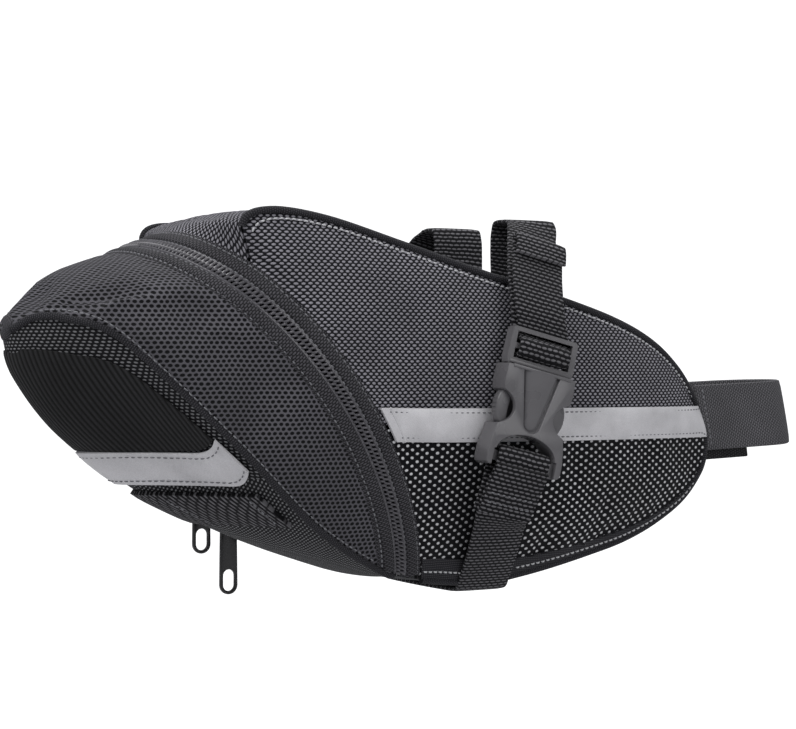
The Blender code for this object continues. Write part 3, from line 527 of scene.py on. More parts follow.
def cloth_material(
    name, thread, ground, column, row, width, height, roughness=0.82, relief=0.12, yarn=0.45, sheen=0.04
):
    """Woven cloth: pale threads in staggered spots on a darker ground, with relief and handling."""
    made, tree, shader = finish_material(name, roughness, Sheen_Weight=sheen, Sheen_Roughness=0.5)
    shader.inputs["Specular IOR Level"].default_value = 0.2
    cloth = cloth_place(tree)
    spots = use(tree, spotted, cloth, Column=column, Row=row, Width=width, Height=height).outputs
    wear = use(tree, worn, cloth, Yarn=yarn).outputs
    ground_colour = mixed(tree, wear["Yarns"], ground, tuple(1.9 * c for c in ground))
    colour = mixed(tree, spots["Spots"], ground_colour, thread)
    lit = ranged(tree, wear["Patches"], 0.82, 1.18)
    rough = ranged(tree, wear["Patches"], roughness - 0.07, roughness + 0.07)
    raised = maths(tree, "MULTIPLY_ADD", wear["Yarns"], 0.25, spots["Relief"])
    feed(shader, Base_Color=mixed(tree, 1.0, colour, lit, blend_type="MULTIPLY"))
    feed(shader, Roughness=rough, Normal=bumped(tree, 0.9, relief, raised))
    return made


upper_cloth = cloth_material(
    "upper_side_cloth", (0.30, 0.292, 0.325), (0.005, 0.005, 0.007), 2.0, 0.9, 1.25, 0.72, relief=0.18
)
lower_cloth = cloth_material(
    "lower_side_cloth", (0.68, 0.68, 0.70), (0.001, 0.001, 0.002), 3.5, 1.17, 1.15, 0.85, relief=0.3
)
ribbed_cloth = cloth_material(
    "ribbed_cloth", (0.075, 0.075, 0.080), (0.006, 0.006, 0.007), 1.2, 1.0, 0.9, 1.6, relief=0.22
)


def as_cut(first, second):
    """Lays cloth flat as cut: its pattern reads two of a point's three places."""

    def lay(_s, _v, point):
        return point[first] / MM, point[second] / MM

    return lay


flat_cloth = as_cut(0, 2)
STRIP = (-22.0, -12.2)
STRIP_FALL = 1.6


def strip_fall(s):
    """The strip falls a little towards the nose."""
    return -STRIP_FALL * MM * max(0.0, (s - FRONT_EDGE) / (NOSE - FRONT_EDGE))


def down_flank(s, z, side):
    return solve(lambda q: flank(s, q, side)[2], z, 0.0, 1.0)


hands = ((right_flank, -1, "right"), (left_flank, 1, "left"))
stations = spaced(FRONT_EDGE + 0.03, NOSE - 0.15, 84)
side_cut = {"limits": (0.0, 1.0), "extra": 0.015, "press": under_straps}
for surface, side, hand in hands:
    joint = {s: down_flank(s, level(sum(STRIP) / 2) + strip_fall(s), side) for s in stations}
    above = [[(s, joint[s] * q) for q in spaced(0.0, 1.0, 30)] for s in stations]
    below = [
        [(s, joint[s] + 0.012 + (0.988 - joint[s]) * q) for q in spaced(0.0, 1.0, 30)] for s in stations
    ]
    full = {"puff": 2.2 * MM, "ripple": 0.5 * MM, **side_cut}
    upper = sheet(f"upper_side_{hand}", surface, above, upper_cloth, flat_cloth, **full)
    flat = {"puff": 1.4 * MM, "ripple": 0.4 * MM, **side_cut}
    lower = sheet(f"lower_side_{hand}", surface, below, lower_cloth, flat_cloth, **flat)
    panels = (upper, "upper_side_panel", "fabric"), (lower, "lower_side_panel", "dotted_fabric")
    for piece, cad, slot in panels:
        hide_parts(f"{cad}_{hand}")
        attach(piece, "bag")

# The top and bottom sheets and the band round the nose are plainer cloth, cut between the sides.
FLANK_WALL = 1.0 * MM


def between(s, edge, v):
    """A share of the width that stops just short of the flanks."""
    return v * (1.0 - FLANK_WALL / max(measures(s)[edge] * MM, 4 * FLANK_WALL))


def directions(path):
    """The direction of travel at each point of an open path."""
    path = np.asarray(path, float)
    runs = [unit(b - a) for a, b in zip(path[:-1], path[1:])]
    return [runs[0], *(unit(a + b) for a, b in zip(runs[:-1], runs[1:])), runs[-1]]


def lengths(path):
    steps = np.linalg.norm(np.diff(np.asarray(path, float), axis=0), axis=1)
    return np.concatenate([[0.0], np.cumsum(steps)])


def ride_on(piece, body, slot, *cad):
    """Fixes a piece to a body and hides the plain solids it stands for. Its finish, the slot, is not used.
    """
    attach(piece, body)
    if cad:
        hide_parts(*cad)
    return piece


NOSE_SEAM = 17.0
TOP_EDGE, BOTTOM_EDGE = 5, 9
top_stations = spaced(FRONT_EDGE, NOSE_SEAM, 90)
top_run = lengths([crown(s, 0.7) for s in top_stations])


def along_top(s, _v, point):
    """The cloth lies as cut, along the bag, also where it climbs over the shoulder."""
    return float(np.interp(s, top_stations, top_run)) / MM, point[1] / MM


def under_rail_straps(point):
    """The top is held down where the rail straps are sewn on."""
    return min(1.0, abs(point[0] / MM) / 20.0 + 0.1)


top_cut = {"puff": 1.6 * MM, "ripple": 0.5 * MM, "extra": 0.01, "press": under_rail_straps}
rows = spaced(FRONT_EDGE + 0.02, NOSE_SEAM, 70)
grid = [[(s, between(s, TOP_EDGE, v)) for v in spaced(-1, 1, 41)] for s in rows]
top = sheet("top_cloth", crown, grid, upper_cloth, along_top, **top_cut)
ride_on(top, "bag", "fabric", "top_gusset")
rows = spaced(ZIP + 0.04, NOSE_SEAM, 60)
grid = [[(s, between(s, BOTTOM_EDGE, v)) for v in spaced(-1, 1, 25)] for s in rows]
base = sheet("bottom_cloth", belly, grid, ribbed_cloth, as_cut(1, 0), puff=0.8 * MM, ripple=0.3 * MM)
ride_on(base, "bag", "ribbed_fabric", "bottom_gusset")
NOSE_START = NOSE_SEAM + 0.05


def nose_round(s, v):
    """The nose's surface: down the crown from 0, round the end at 3 and back under the belly to 6."""
    surface, edge = (crown, TOP_EDGE) if s <= 3.0 else (belly, BOTTOM_EDGE)
    station = NOSE - abs(s - 3.0) * (NOSE - NOSE_START) / 3.0
    return surface(station, 0.0) * (1, 0, 1) + (0, v * (measures(station)[edge] * MM - FLANK_WALL), 0)


def tube_faces(rings, count, first=0):
    """The sides of a tube made of rings of points."""
    pairs = [
        (first + i * count + j, first + i * count + (j + 1) % count)
        for i in range(rings - 1)
        for j in range(count)
    ]
    return [(a, b, b + count, a + count) for a, b in pairs]


points, cloth = [], []
rings, across = 49, 21
run = 0.0
heart = crown(16.0, 0.0) * (1, 0, 1) - (0, 0, 0.03)
bulge = [1.1 * MM * (1 - (j / 10 - 1) ** 2) for j in range(across)]
for s in spaced(0.0, 6.0, rings):
    here = [nose_round(s, v) for v in spaced(-1, 1, across)]
    run += np.linalg.norm(here[across // 2] - points[across // 2 - 2 * across]) / MM if points else 0.0
    out = unit(here[across // 2] - heart)
    outer = [p + out * b for p, b in zip(here, bulge)]
    inner = [p + out * (b - CLOTH) for p, b in zip(here, bulge)]
    points += outer + inner[::-1]
    cloth += [(p[1] / MM, run) for p in here + here[::-1]]
faces = tube_faces(rings, 2 * across)
for first in (0, (rings - 1) * 2 * across):
    last = first + 2 * across - 1
    faces += [(first + j, first + j + 1, last - 1 - j, last - j) for j in range(across - 1)]
nose = outward(mesh_object("nose_cloth", points, faces, ribbed_cloth, cloth))
ride_on(nose, "bag", "ribbed_fabric", "nose_panel")

# ------------------------------------------------------------------------------------------------
# Bound edges. Each side's raw edge is folded into a narrow woven tape and stitched through with
# pale thread, from the shoulder over the top seam, round the nose and back to the strap.
# ------------------------------------------------------------------------------------------------

THREAD = 0.30 * MM
STITCH, STITCH_GAP = 1.35 * MM, 0.55 * MM


def in_space(tree, kind, scale, *links, **values):
    """A noise or wave texture that is fixed in the piece's own space."""
    vector = node(tree, "TexCoord").outputs["Object"]
    return node(tree, kind, ("Vector", vector), ("Scale", scale), *links, **values)


def thread_material(name, roughness, dark, pale, **sockets):
    """Twisted polyester thread."""
    made, tree, shader = finish_material(name, roughness, **sockets)
    twist = in_space(tree, "TexWave", 900.0, ("Distortion", 2.0), bands_direction="DIAGONAL")
    feed(shader, Base_Color=mixed(tree, twist.outputs[1], dark, pale))
    return made


thread = thread_material("pale_thread", 0.6, (0.42, 0.42, 0.44), (0.66, 0.66, 0.68), Sheen_Weight=0.3)
dark_thread = thread_material("grey_thread", 0.7, (0.10, 0.10, 0.11), (0.24, 0.24, 0.26))
tape_cloth = cloth_material(
    "woven_tape", (0.055, 0.053, 0.060), (0.010, 0.010, 0.012), 0.7, 0.7, 0.55, 0.4, relief=0.1
)


def capped_tube(rings, count, first=0):
    """A tube's faces with a cap at both ends."""
    last = first + (rings - 1) * count
    caps = [tuple(range(start, start + count)) for start in (first, last)]
    return tube_faces(rings, count, first) + caps


def swept(name, path, outs, outline, material):
    """A strip of a given outline, (across, out) in metres, swept along a path. It is capped."""
    ways, run = directions(path), lengths(path)
    points, cloth, count = [], [], len(outline)
    girth = lengths([*outline, outline[0]])
    for point, way, out, far in zip(path, ways, outs, run):
        out = unit(np.asarray(out) - np.dot(out, way) * way)
        wide = np.cross(out, way)
        points += [np.asarray(point) + wide * a + out * b for a, b in outline]
        cloth += [(girth[j] / MM, far / MM) for j in range(count)]
    return outward(mesh_object(name, points, capped_tube(len(path), count), material, cloth))


def stitches(name, path, outs, material, long=STITCH, gap=STITCH_GAP, thick=THREAD):
    """One row of stitches along a path: each a short bar of thread that dips into the cloth."""
    run, ways = lengths(path), directions(path)
    points, faces = [], []
    at = long / 2 + gap
    while at < run[-1] - long / 2:
        i = int(np.searchsorted(run, at)) - 1
        t = (at - run[i]) / max(run[i + 1] - run[i], 1e-9)
        middle = np.asarray(path[i]) * (1 - t) + np.asarray(path[i + 1]) * t
        way, out = ways[i], unit(np.asarray(outs[i]) * (1 - t) + np.asarray(outs[i + 1]) * t)
        wide = np.cross(out, way)
        round_thread = [wide * math.cos(a) + out * math.sin(a) for a in np.radians((0, 60, 120, 180, 270))]
        faces += capped_tube(4, 5, len(points))
        for along, size, sink in ((-0.5, 0.45, 0.8), (-0.25, 1.0, 0.1), (0.25, 1.0, 0.1), (0.5, 0.45, 0.8)):
            centre = middle + way * along * long - out * sink * thick
            points += [centre + spoke * thick * size for spoke in round_thread]
        at += long + gap
    return outward(mesh_object(name, points, faces, material))


def seam(s, q, side):
    """A point on the edge of a side, with the way out between its two cloths."""
    surface = right_flank if side < 0 else left_flank
    point, out = facing(surface, s, q, 0.0, 1.0)
    _, other = facing(belly if q else crown, s, float(side))
    return point, unit(out + other), out


def sew(name, found, lift, material, body, slot, **sizes):
    """A row of stitches on a row of points and normals."""
    ride_on(stitches(name, *lifted(found, lift), material, **sizes), body, slot)


def oval(half, high, angles=range(0, 360, 36)):
    """A round outline in millimetres, or a part of one."""
    return [(half * MM * math.cos(a), high * MM * math.sin(a)) for a in np.radians(angles)]


round_edge = oval(1.15, 1.035)
for surface, side, hand in hands:
    places = [(s, 0.0) for s in spaced(FRONT_EDGE + 0.9, NOSE, 90)]
    places += [(s, 1.0) for s in reversed(spaced(12.9, NOSE - 0.2, 60))]
    found = [seam(s, q, side) for s, q in places]
    edge = swept(f"edge_binding_{hand}", *lifted([f[:2] for f in found], 0.35), round_edge, tape_cloth)
    ride_on(edge, "bag", "zip_tape", f"edge_piping_{hand}")
    row = [
        surface(s, 0.96 if q else 0.035) + f[2] * (0.75 if q else 0.35) * MM
        for (s, q), f in zip(places, found)
    ]
    sewn = stitches(f"edge_stitches_{hand}", row, [f[2] for f in found], thread)
    ride_on(sewn, "bag", "reflective_tape")
    grid = [[(s, q) for q in spaced(0.925, 0.998, 5)] for s in spaced(FRONT_EDGE + 0.1, NOSE - 0.5, 120)]
    sizes = {"lift": 0.55 * MM, "thick": 0.7 * MM, "limits": (0.0, 1.0)}
    hem = sheet(f"bottom_hem_{hand}", surface, grid, tape_cloth, flat_cloth, **sizes)
    ride_on(hem, "bag", "zip_tape")
    places = [(s, 1.0) for s in spaced(FRONT_EDGE + 0.1, 12.9, 50)]
    found = [seam(s, q, side) for s, q in places]
    edge = swept(f"bottom_binding_{hand}", *lifted([f[:2] for f in found], 0.2), round_edge, tape_cloth)
    ride_on(edge, "bag", "zip_tape")
    row = [(surface(s, q - 0.035), f[2]) for (s, q), f in zip(places, found)]
    sew(f"bottom_stitches_{hand}", row, 0.75, thread, "bag", "reflective_tape")

# ------------------------------------------------------------------------------------------------
# Reflective strips. Silver tape with glass beads covers the joint of the two side cloths. Its rear
# end is folded under and it is sewn down along both edges.
# ------------------------------------------------------------------------------------------------

silver, tree, shader = finish_material("silver_tape", 0.34, Coat_Weight=0.15, Coat_Roughness=0.3)
cloth = cloth_place(tree)
beads = node(tree, "TexVoronoi", ("Vector", cloth), ("Scale", 5.5)).outputs[0]
wear = use(tree, worn, cloth, Yarn=0.8, Patch=9.0).outputs
fleck = ranged(tree, beads, 1.1, 0.9, start=0.0)
grey = maths(tree, "MULTIPLY", ranged(tree, wear["Patches"], 0.60, 0.76), fleck)
shade = node(tree, "CombineColor", (0, grey))
for channel, factor in ((1, 0.985), (2, 1.02)):
    tree.links.new(maths(tree, "MULTIPLY", grey, factor), shade.inputs[channel])
height = maths(tree, "MULTIPLY", wear["Patches"], 1.5)
height = maths(tree, "MULTIPLY_ADD", wear["Yarns"], 0.5, height)
feed(shader, Base_Color=shade.outputs[0], Roughness=ranged(tree, wear["Patches"], 0.28, 0.46))
feed(shader, Normal=bumped(tree, 0.6, 0.12, height))
strip_cut = {
    "lift": 1.05 * MM, "thick": 0.75 * MM, "puff": 0.25 * MM, "ripple": 0.3 * MM, "limits": (0.0, 1.0)
}
for surface, side, hand in hands:
    stations = [*spaced(FRONT_EDGE + 0.15, NOSE - 1.4, 90), *spaced(NOSE - 1.3, NOSE - 0.35, 10)]
    rows = []
    for s in stations:
        fall = strip_fall(s)
        ends = down_flank(s, level(STRIP[1]) + fall, side), down_flank(s, level(STRIP[0]) + fall, side)
        rows.append([(s, q) for q in spaced(*ends, 9)])
    strip = sheet(f"side_strip_{hand}", surface, rows, silver, flat_cloth, **strip_cut)
    ride_on(strip, "bag", "reflective_tape", f"side_reflective_strip_{hand}")
    for label, column in (("upper", 1), ("lower", 7)):
        found = [facing(surface, *row[column], 0.0, 1.0) for row in rows[2:]]
        name = f"side_strip_stitches_{label}_{hand}"
        sew(name, found, 1.15, dark_thread, "bag", "reflective_tape", thick=0.2 * MM)
    (station, start), (_, end) = rows[4][0], rows[4][-1]
    found = [facing(surface, station, q, 0.0, 1.0) for q in spaced(start, end, 9)]
    ridge = [(a * MM, b * MM) for a, b in ((-0.5, -0.2), (0.5, -0.2), (0.25, 0.22), (-0.25, 0.22))]
    fold = swept(f"side_strip_fold_{hand}", *lifted(found, 1.15), ridge, silver)
    ride_on(fold, "bag", "reflective_tape")

# ------------------------------------------------------------------------------------------------
# The zip. Two woven tapes run over the bag from one lower corner to the other, each edged with a
# nylon coil of small teeth that is sewn on with a cord in it. It is sewn in with the coil outside.
# ------------------------------------------------------------------------------------------------

ZIP_END = 0.99
PITCH = 1.45 * MM
tape, tree, shader = finish_material("zip_tape_cloth", 0.85, Sheen_Weight=0.04, Specular_IOR_Level=0.2)
cloth = cloth_place(tree)
weave = use(tree, spotted, cloth, Column=1.5, Row=0.72, Width=1.25, Height=0.5).outputs
wear = use(tree, worn, cloth, Yarn=0.5).outputs
colour = mixed(tree, weave["Spots"], (0.014, 0.014, 0.016), (0.085, 0.082, 0.092))
lit = ranged(tree, wear["Patches"], 0.8, 1.2)
feed(shader, Base_Color=mixed(tree, 1.0, colour, lit, blend_type="MULTIPLY"))
feed(shader, Normal=bumped(tree, 0.8, 0.12, maths(tree, "ADD", weave["Relief"], wear["Yarns"])))


def mottled(name, roughness, scale, detail, dark, pale, rough=None, **sockets):
    """A hard finish in two mottled shades, and with a gloss that may change with them."""
    made, tree, shader = finish_material(name, roughness, **sockets)
    mottle = in_space(tree, "TexNoise", scale, ("Detail", detail)).outputs[0]
    feed(shader, Base_Color=mixed(tree, mottle, dark, pale))
    if rough:
        feed(shader, Roughness=ranged(tree, mottle, *rough))
    return made, tree, shader, mottle


nylon, *_ = mottled(
    "nylon_teeth", 0.32, 420.0, 3.0, (0.045, 0.043, 0.050), (0.13, 0.125, 0.14), (0.24, 0.42),
    Coat_Weight=0.2, Coat_Roughness=0.2
)


def zip_station(offset):
    return ZIP + offset / 10.0


arch_shares = spaced(-ZIP_END, ZIP_END, 400)
arch_run = lengths([arch(ZIP, v) for v in arch_shares])


def along_arch(distance):
    """The share at a distance along the zip from its right lower end."""
    return float(np.interp(distance, arch_run, arch_shares))


def along_tape(s, v, _point):
    """The tape lies as woven: across it and along it."""
    return (s - ZIP) * 10.0, float(np.interp(v, arch_shares, arch_run)) / MM


shares = [along_arch(d) for d in np.linspace(0, arch_run[-1], 170)]


def along_zip(offset):
    """A row of points along the zip, so many millimetres ahead of its middle."""
    return [facing(arch, zip_station(offset), v) for v in shares]


halves = (("rear", -1, "tail_cap"), ("front", 1, "bag"))
for name, side, body in halves:
    grid = [[(zip_station(o), v) for v in shares] for o in spaced(*sorted((side * 2.3, side * 10.2)), 9)]
    sizes = {"lift": 0.1 * MM, "thick": 0.8 * MM, "ripple": 0.12 * MM}
    piece = sheet(f"zip_{name}_tape", arch, grid, tape, along_tape, **sizes)
    ride_on(piece, body, "zip_tape", f"{name}_zip_tape")
    for offset in (3.4, 8.9):
        row = along_zip(side * offset)
        sew(f"zip_{name}_stitches_{int(offset)}", row, 0.2, dark_thread, body, "zip_tape", thick=0.24 * MM)

for name, side, body in halves:
    welt = oval(1.9, 0.75, range(-20, 201, 20))
    welt = swept(f"zip_{name}_welt", *lifted(along_zip(side * 6.1), 0.1), welt, tape)
    ride_on(welt, body, "zip_tape")


def teeth(name, side, body):
    """One row of the coil: each tooth a small rounded bar from the cord to the middle line."""
    points, faces = [], []
    for k in range(int(arch_run[-1] / PITCH)):
        distance = (k + (0.75 if side > 0 else 0.25)) * PITCH
        v = along_arch(distance)
        level_here = arch(ZIP, v)[2]
        if v > TOP_SHARE and any(abs(level_here - at) < 4.2 * MM for at in slider_levels):
            continue
        ends = [facing(arch, zip_station(o * side), v) for o in (-0.35, 0.6, 1.7, 2.7)]
        way = unit(arch(ZIP, v + 0.004) - arch(ZIP, v - 0.004))
        faces += capped_tube(4, 7, len(points))
        sizes = ((0.62, 0.38, 0.35), (0.50, 0.52, 0.62), (0.42, 0.60, 0.72), (0.40, 0.40, 0.25))
        for (point, out), (wide, tall, rise) in zip(ends, sizes):
            for a in np.radians((0, 51, 103, 154, 206, 257, 309)):
                points.append(
                    point + way * math.cos(a) * wide * MM + out * (rise + math.sin(a) * tall) * MM
                )
    piece = outward(mesh_object(f"zip_{name}_teeth", points, faces, nylon))
    ride_on(piece, body, "zip_coil", f"{name}_zip_coil")


slider_levels = [level(-9.5), level(-22.5)]
for half in halves:
    teeth(*half)
for name, side, body in halves:
    cord = oval(0.55, 0.45, range(0, 360, 60))
    cord = swept(f"zip_{name}_cord", *lifted(along_zip(side * 2.55), 0.25), cord, nylon)
    ride_on(cord, body, "zip_coil")

# ------------------------------------------------------------------------------------------------
# Zip sliders and pulls. Each slider is a black die-cast body with two plates, a post and a crown on
# top. Its long stamped pull hangs from a pin under the crown and ends in a finger loop.
# ------------------------------------------------------------------------------------------------

PULL_LENGTH, PULL_HALF, PULL_HINGE, PULL_FRONT = 51.5, 3.1, 3.7, 2.9
black, tree, shader, mottle = mottled(
    "black_lacquer", 0.25, 700.0, 5.0, (0.010, 0.010, 0.011), (0.045, 0.044, 0.046), (0.2, 0.42),
    Metallic=0.6, Coat_Weight=0.5, Coat_Roughness=0.15
)
feed(shader, Normal=bumped(tree, 0.3, 0.02, mottle))


def apply_all(made):
    select_only(made)
    for modifier in list(made.modifiers):
        bpy.ops.object.modifier_apply(modifier=modifier.name)


def block(name, outline, low, high, at, material, bevel=0.25, cuts=(), segments=2):
    """An outline in millimetres, extruded from low to high, with openings cut out and edges eased."""
    made = mesh_object(name, [at(x, low, z) for x, z in outline], [tuple(range(len(outline)))], material)
    select_only(made)
    bpy.ops.object.mode_set(mode="EDIT")
    bpy.ops.mesh.select_all(action="SELECT")
    rise = Vector(at(0, high, 0)) - Vector(at(0, low, 0))
    bpy.ops.mesh.extrude_region_move(TRANSFORM_OT_translate={"value": rise})
    bpy.ops.mesh.select_all(action="SELECT")
    bpy.ops.mesh.normals_make_consistent(inside=False)
    bpy.ops.object.mode_set(mode="OBJECT")
    for number, (shape, under, over) in enumerate(cuts):
        cutter = block(f"{name}_cutter_{number}", shape, under, over, at, None, bevel=0.0)
        opening = made.modifiers.new("opening", "BOOLEAN")
        opening.object = cutter
        opening.operation = "DIFFERENCE"
        apply_all(made)
        bpy.data.objects.remove(cutter)
    if bevel:
        ease = made.modifiers.new("eased_edges", "BEVEL")
        ease.width = bevel * MM
        ease.segments = segments
        ease.limit_method = "ANGLE"
        ease.angle_limit = math.radians(38)
        ease.harden_normals = False
        apply_all(made)
    bpy.ops.object.shade_smooth_by_angle(angle=math.radians(42))
    return made


def joined(name, *parts):
    """Makes one piece of several, as moulded or riveted together."""
    select_only(*parts)
    bpy.ops.object.join()
    parts[0].name = name
    parts[0].data.name = name
    return parts[0]


def round_path(centre, radii, start, end, steps):
    """Points on an arc, in millimetres and degrees."""
    angles = np.radians(np.linspace(start, end, steps + 1))
    return [(centre[0] + radii[0] * math.cos(a), centre[1] + radii[1] * math.sin(a)) for a in angles]


def placed(origin, first, second, third):
    """Places a point by its three measures, in millimetres, along three directions from an origin."""

    def at(a, b, c):
        return origin + (first * a + second * b + third * c) * MM

    return at


for label, height in zip(("upper", "lower"), slider_levels):
    v = solve(lambda v: arch(ZIP, v)[2], height, TOP_SHARE, 1.0)
    spot, out = facing(arch, ZIP, v)
    up_zip = unit(arch(ZIP, v - 0.02) - arch(ZIP, v + 0.02))
    out = unit(out - np.dot(out, up_zip) * up_zip)
    wide = np.cross(up_zip, out)
    on_slider, side_on = placed(spot, wide, out, up_zip), placed(spot, up_zip, wide, out)
    wings = [(-4.2, -3.0), (-3.4, -4.6), (-2.2, -5.4), (2.2, -5.4), (3.4, -4.6), (4.2, -3.0)]
    wings += [(4.2, 2.4), (2.6, 4.9), (1.2, 5.5), (-1.2, 5.5), (-2.6, 4.9), (-4.2, 2.4)]
    plate = block("plate", wings, 1.4, 3.0, on_slider, black, bevel=0.5, segments=3)
    post = block(
        "post", [(-1.2, -2.0), (1.2, -2.0), (1.2, 3.5), (-1.2, 3.5)], 0.4, 1.8, on_slider, black, bevel=0.2
    )
    bridge = [(-2.9, 2.6), (-2.8, 4.2), (-2.2, 5.1), (-1.4, 5.4), (1.4, 5.4), (2.2, 5.1), (2.8, 4.2)]
    bridge += [(2.9, 2.6), (1.7, 2.6), (1.6, 3.9), (1.2, 4.4), (-1.2, 4.4), (-1.6, 3.9), (-1.7, 2.6)]
    bridge = block("bridge", bridge, -0.9, 0.9, side_on, black, bevel=0.25)
    lip = [(-3.3, -2.6), (-2.7, -3.4), (2.7, -3.4), (3.3, -2.6), (2.8, -2.2), (-2.8, -2.2)]
    lip = block("lip", lip, 2.9, 3.35, on_slider, black, bevel=0.15)
    slider = joined(f"slider_{label}", plate, post, bridge, lip)
    ride_on(slider, f"zip_slider_{label}_body", "black_metal", f"zip_slider_{label}")

    hinge = spot + out * PULL_HINGE * MM
    nosewards, leftwards, upwards = np.eye(3)
    on_pull = placed(hinge, nosewards, leftwards, upwards)
    across_pull = placed(hinge, leftwards, nosewards, upwards)
    foot = PULL_HALF - PULL_LENGTH
    shape = [(-2.4, -0.5), (2.4, -0.5), (2.8, -1.6), (2.7, -20.0), (3.0, -40.0)]
    shape += round_path((0.0, foot), (PULL_HALF, PULL_HALF), 0.0, -180.0, 16)
    shape += [(-3.0, -40.0), (-2.7, -20.0), (-2.8, -1.6)]
    loop = round_path((0.0, foot), (2.0, 2.0), 0.0, -180.0, 14)
    loop = [(loop + round_path((0.0, foot + 3.0), (2.0, 2.0), 180.0, 0.0, 14), 1.0, 6.0)]
    tab = block(
        "tab", shape, PULL_FRONT, PULL_FRONT + 1.4, on_pull, black, bevel=0.35, cuts=loop, segments=3
    )
    groove = [(-1.1, -14.0), (1.1, -14.0), (1.1, -32.0), (-1.1, -32.0)]
    rib = block("rib", groove, PULL_FRONT + 1.3, PULL_FRONT + 1.65, on_pull, black, bevel=0.14)
    cheek = [(-0.4, 0.4), (0.4, 0.4), (3.0, -0.6), (3.0, -2.4), (0.2, -0.4), (-0.4, -0.4)]
    lows = (-PULL_HALF, PULL_HALF - 0.8)
    cheeks = [block("cheek", cheek, low, low + 0.8, across_pull, black, bevel=0.1) for low in lows]
    pin_shape = round_path((0.0, 0.0), (0.4, 0.4), 0.0, 324.0, 9)
    pin = block("pin", pin_shape, 0.1 - PULL_HALF, PULL_HALF - 0.1, across_pull, black, bevel=0.0)
    pull = joined(f"pull_{label}", tab, rib, *cheeks, pin)
    ride_on(pull, f"zip_pull_{label}_body", "black_metal", f"zip_pull_{label}")

# ------------------------------------------------------------------------------------------------
# The tail cap. A spotted hood is pulled over the arch down to a bound seam, with a rear panel below
# it. A ribbed skin is sewn on the panel, then a silver strip, then the webbing for a tail light.
# ------------------------------------------------------------------------------------------------

TAIL_STRIP = (-33.0, -24.0)
LIGHT_LOOP = (-45.0, -36.0)
hood_cloth = cloth_material(
    "hood_cloth", (0.002, 0.002, 0.003), (0.072, 0.070, 0.079), 1.62, 1.25, 1.2, 1.0, relief=-0.16
)
rear_cloth = cloth_material(
    "rear_cloth", (0.22, 0.22, 0.23), (0.004, 0.004, 0.005), 1.35, 0.95, 0.85, 0.5, relief=0.16
)


def over_hood(s, v, point):
    """The cloth hangs upright on the flanks and runs on over the top."""
    if abs(v) > TOP_SHARE:
        return point[0] / MM, point[2] / MM
    edge = crown(s, np.sign(v) or 1.0)
    return point[0] / MM, (edge[2] + math.hypot(point[1] - edge[1], point[2] - edge[2])) / MM


def tail_station(v, z):
    return solve(lambda s: belly(s, v)[2], z, TIP, ZIP)


stations = [*spaced(TIP, 2.0, 22), *spaced(2.1, zip_station(-9.9), 62)]
grid = [[(s, v) for v in spaced(-1.0, 1.0, 131)] for s in stations]
hood = sheet(
    "tail_hood_cloth", arch, grid, hood_cloth, over_hood, puff=2.4 * MM, ripple=0.6 * MM, extra=0.015
)
ride_on(hood, "tail_cap", "fabric", "tail_hood")

columns = spaced(-1.0, 1.0, 71)
fold_at = {share: tail_station(share * 0.92, level(TAIL_STRIP[0] - 1.4)) for share in columns}

rear_place = as_cut(1, 2)
grid = [[(s, share * 0.999) for s in spaced(0.0, fold_at[share], 46)] for share in columns]
rear = sheet("tail_rear_cloth", belly, grid, rear_cloth, rear_place, puff=0.8 * MM, ripple=0.4 * MM)
ride_on(rear, "tail_cap", "dotted_fabric", "tail_rear_panel")
grid = [[(s, share * 0.999) for s in spaced(fold_at[share], ZIP - 0.04, 40)] for share in columns]
under = sheet("tail_bottom_cloth", belly, grid, rear_cloth, as_cut(1, 0), puff=0.9 * MM, ripple=0.4 * MM)
ride_on(under, "tail_cap", "ribbed_fabric", "tail_bottom_panel")

# The cap hinges on a doubled tape inside the bottom cloth, laid across the line where the cap folds down.
rows = spaced(ZIP - 0.7, ZIP + 0.7, 29)
grid = [[(s, between(s, BOTTOM_EDGE, v)) for s in rows] for v in spaced(-1.0, 1.0, 25)]
hinge_tape = sheet("tail_hinge_tape", belly, grid, tape_cloth, rear_place, lift=-0.7 * MM, thick=0.8 * MM)
ends = belly(ZIP + 0.35, 0.0), belly(ZIP - 0.35, 0.0)
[tuple(map(float, end)) for end in ends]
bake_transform(hinge_tape)


def strip_levels(v):
    """The tail strip's lower and upper edge, which turn up near the seam."""
    lift = 4.0 * MM * max(0.0, (abs(v) - 0.74) / 0.19) ** 2
    return level(TAIL_STRIP[0]) + lift, level(TAIL_STRIP[1]) + lift


ribbed, tree, shader = finish_material("ribbed_skin", 0.78, Sheen_Weight=0.04, Specular_IOR_Level=0.2)
RIB_PITCH, SKIN_MARGIN = 1.2, 3.4
cloth = cloth_place(tree)
parts = node(tree, "SeparateXYZ", (0, cloth))
wave = maths(tree, "SINE", maths(tree, "MULTIPLY", parts.outputs[0], 2 * math.pi / RIB_PITCH))
ridge = maths(tree, "MULTIPLY_ADD", wave, 0.5, 0.5)
wear = use(tree, worn, cloth, Yarn=0.4).outputs
tint = mixed(tree, ridge, (0.003, 0.003, 0.003), (0.026, 0.026, 0.028))
lit = ranged(tree, wear["Patches"], 0.7, 1.3)
feed(shader, Base_Color=mixed(tree, 1.0, tint, lit, blend_type="MULTIPLY"))
feed(shader, Normal=bumped(tree, 1.0, 0.3, maths(tree, "MULTIPLY_ADD", wear["Yarns"], 0.2, ridge)))
grid = []
for share in columns:
    foot = tail_station(share * 0.9, strip_levels(share * 0.9)[1] + 0.4 * MM)
    rows = spaced(0.25 + 0.5 * share * share, foot, 44)
    grid.append([(s, share * (1.0 - SKIN_MARGIN / max(measures(s)[BOTTOM_EDGE], 6.0))) for s in rows])
sizes = {"lift": 1.35 * MM, "thick": 0.5 * MM, "puff": 0.35 * MM, "ripple": 0.4 * MM}
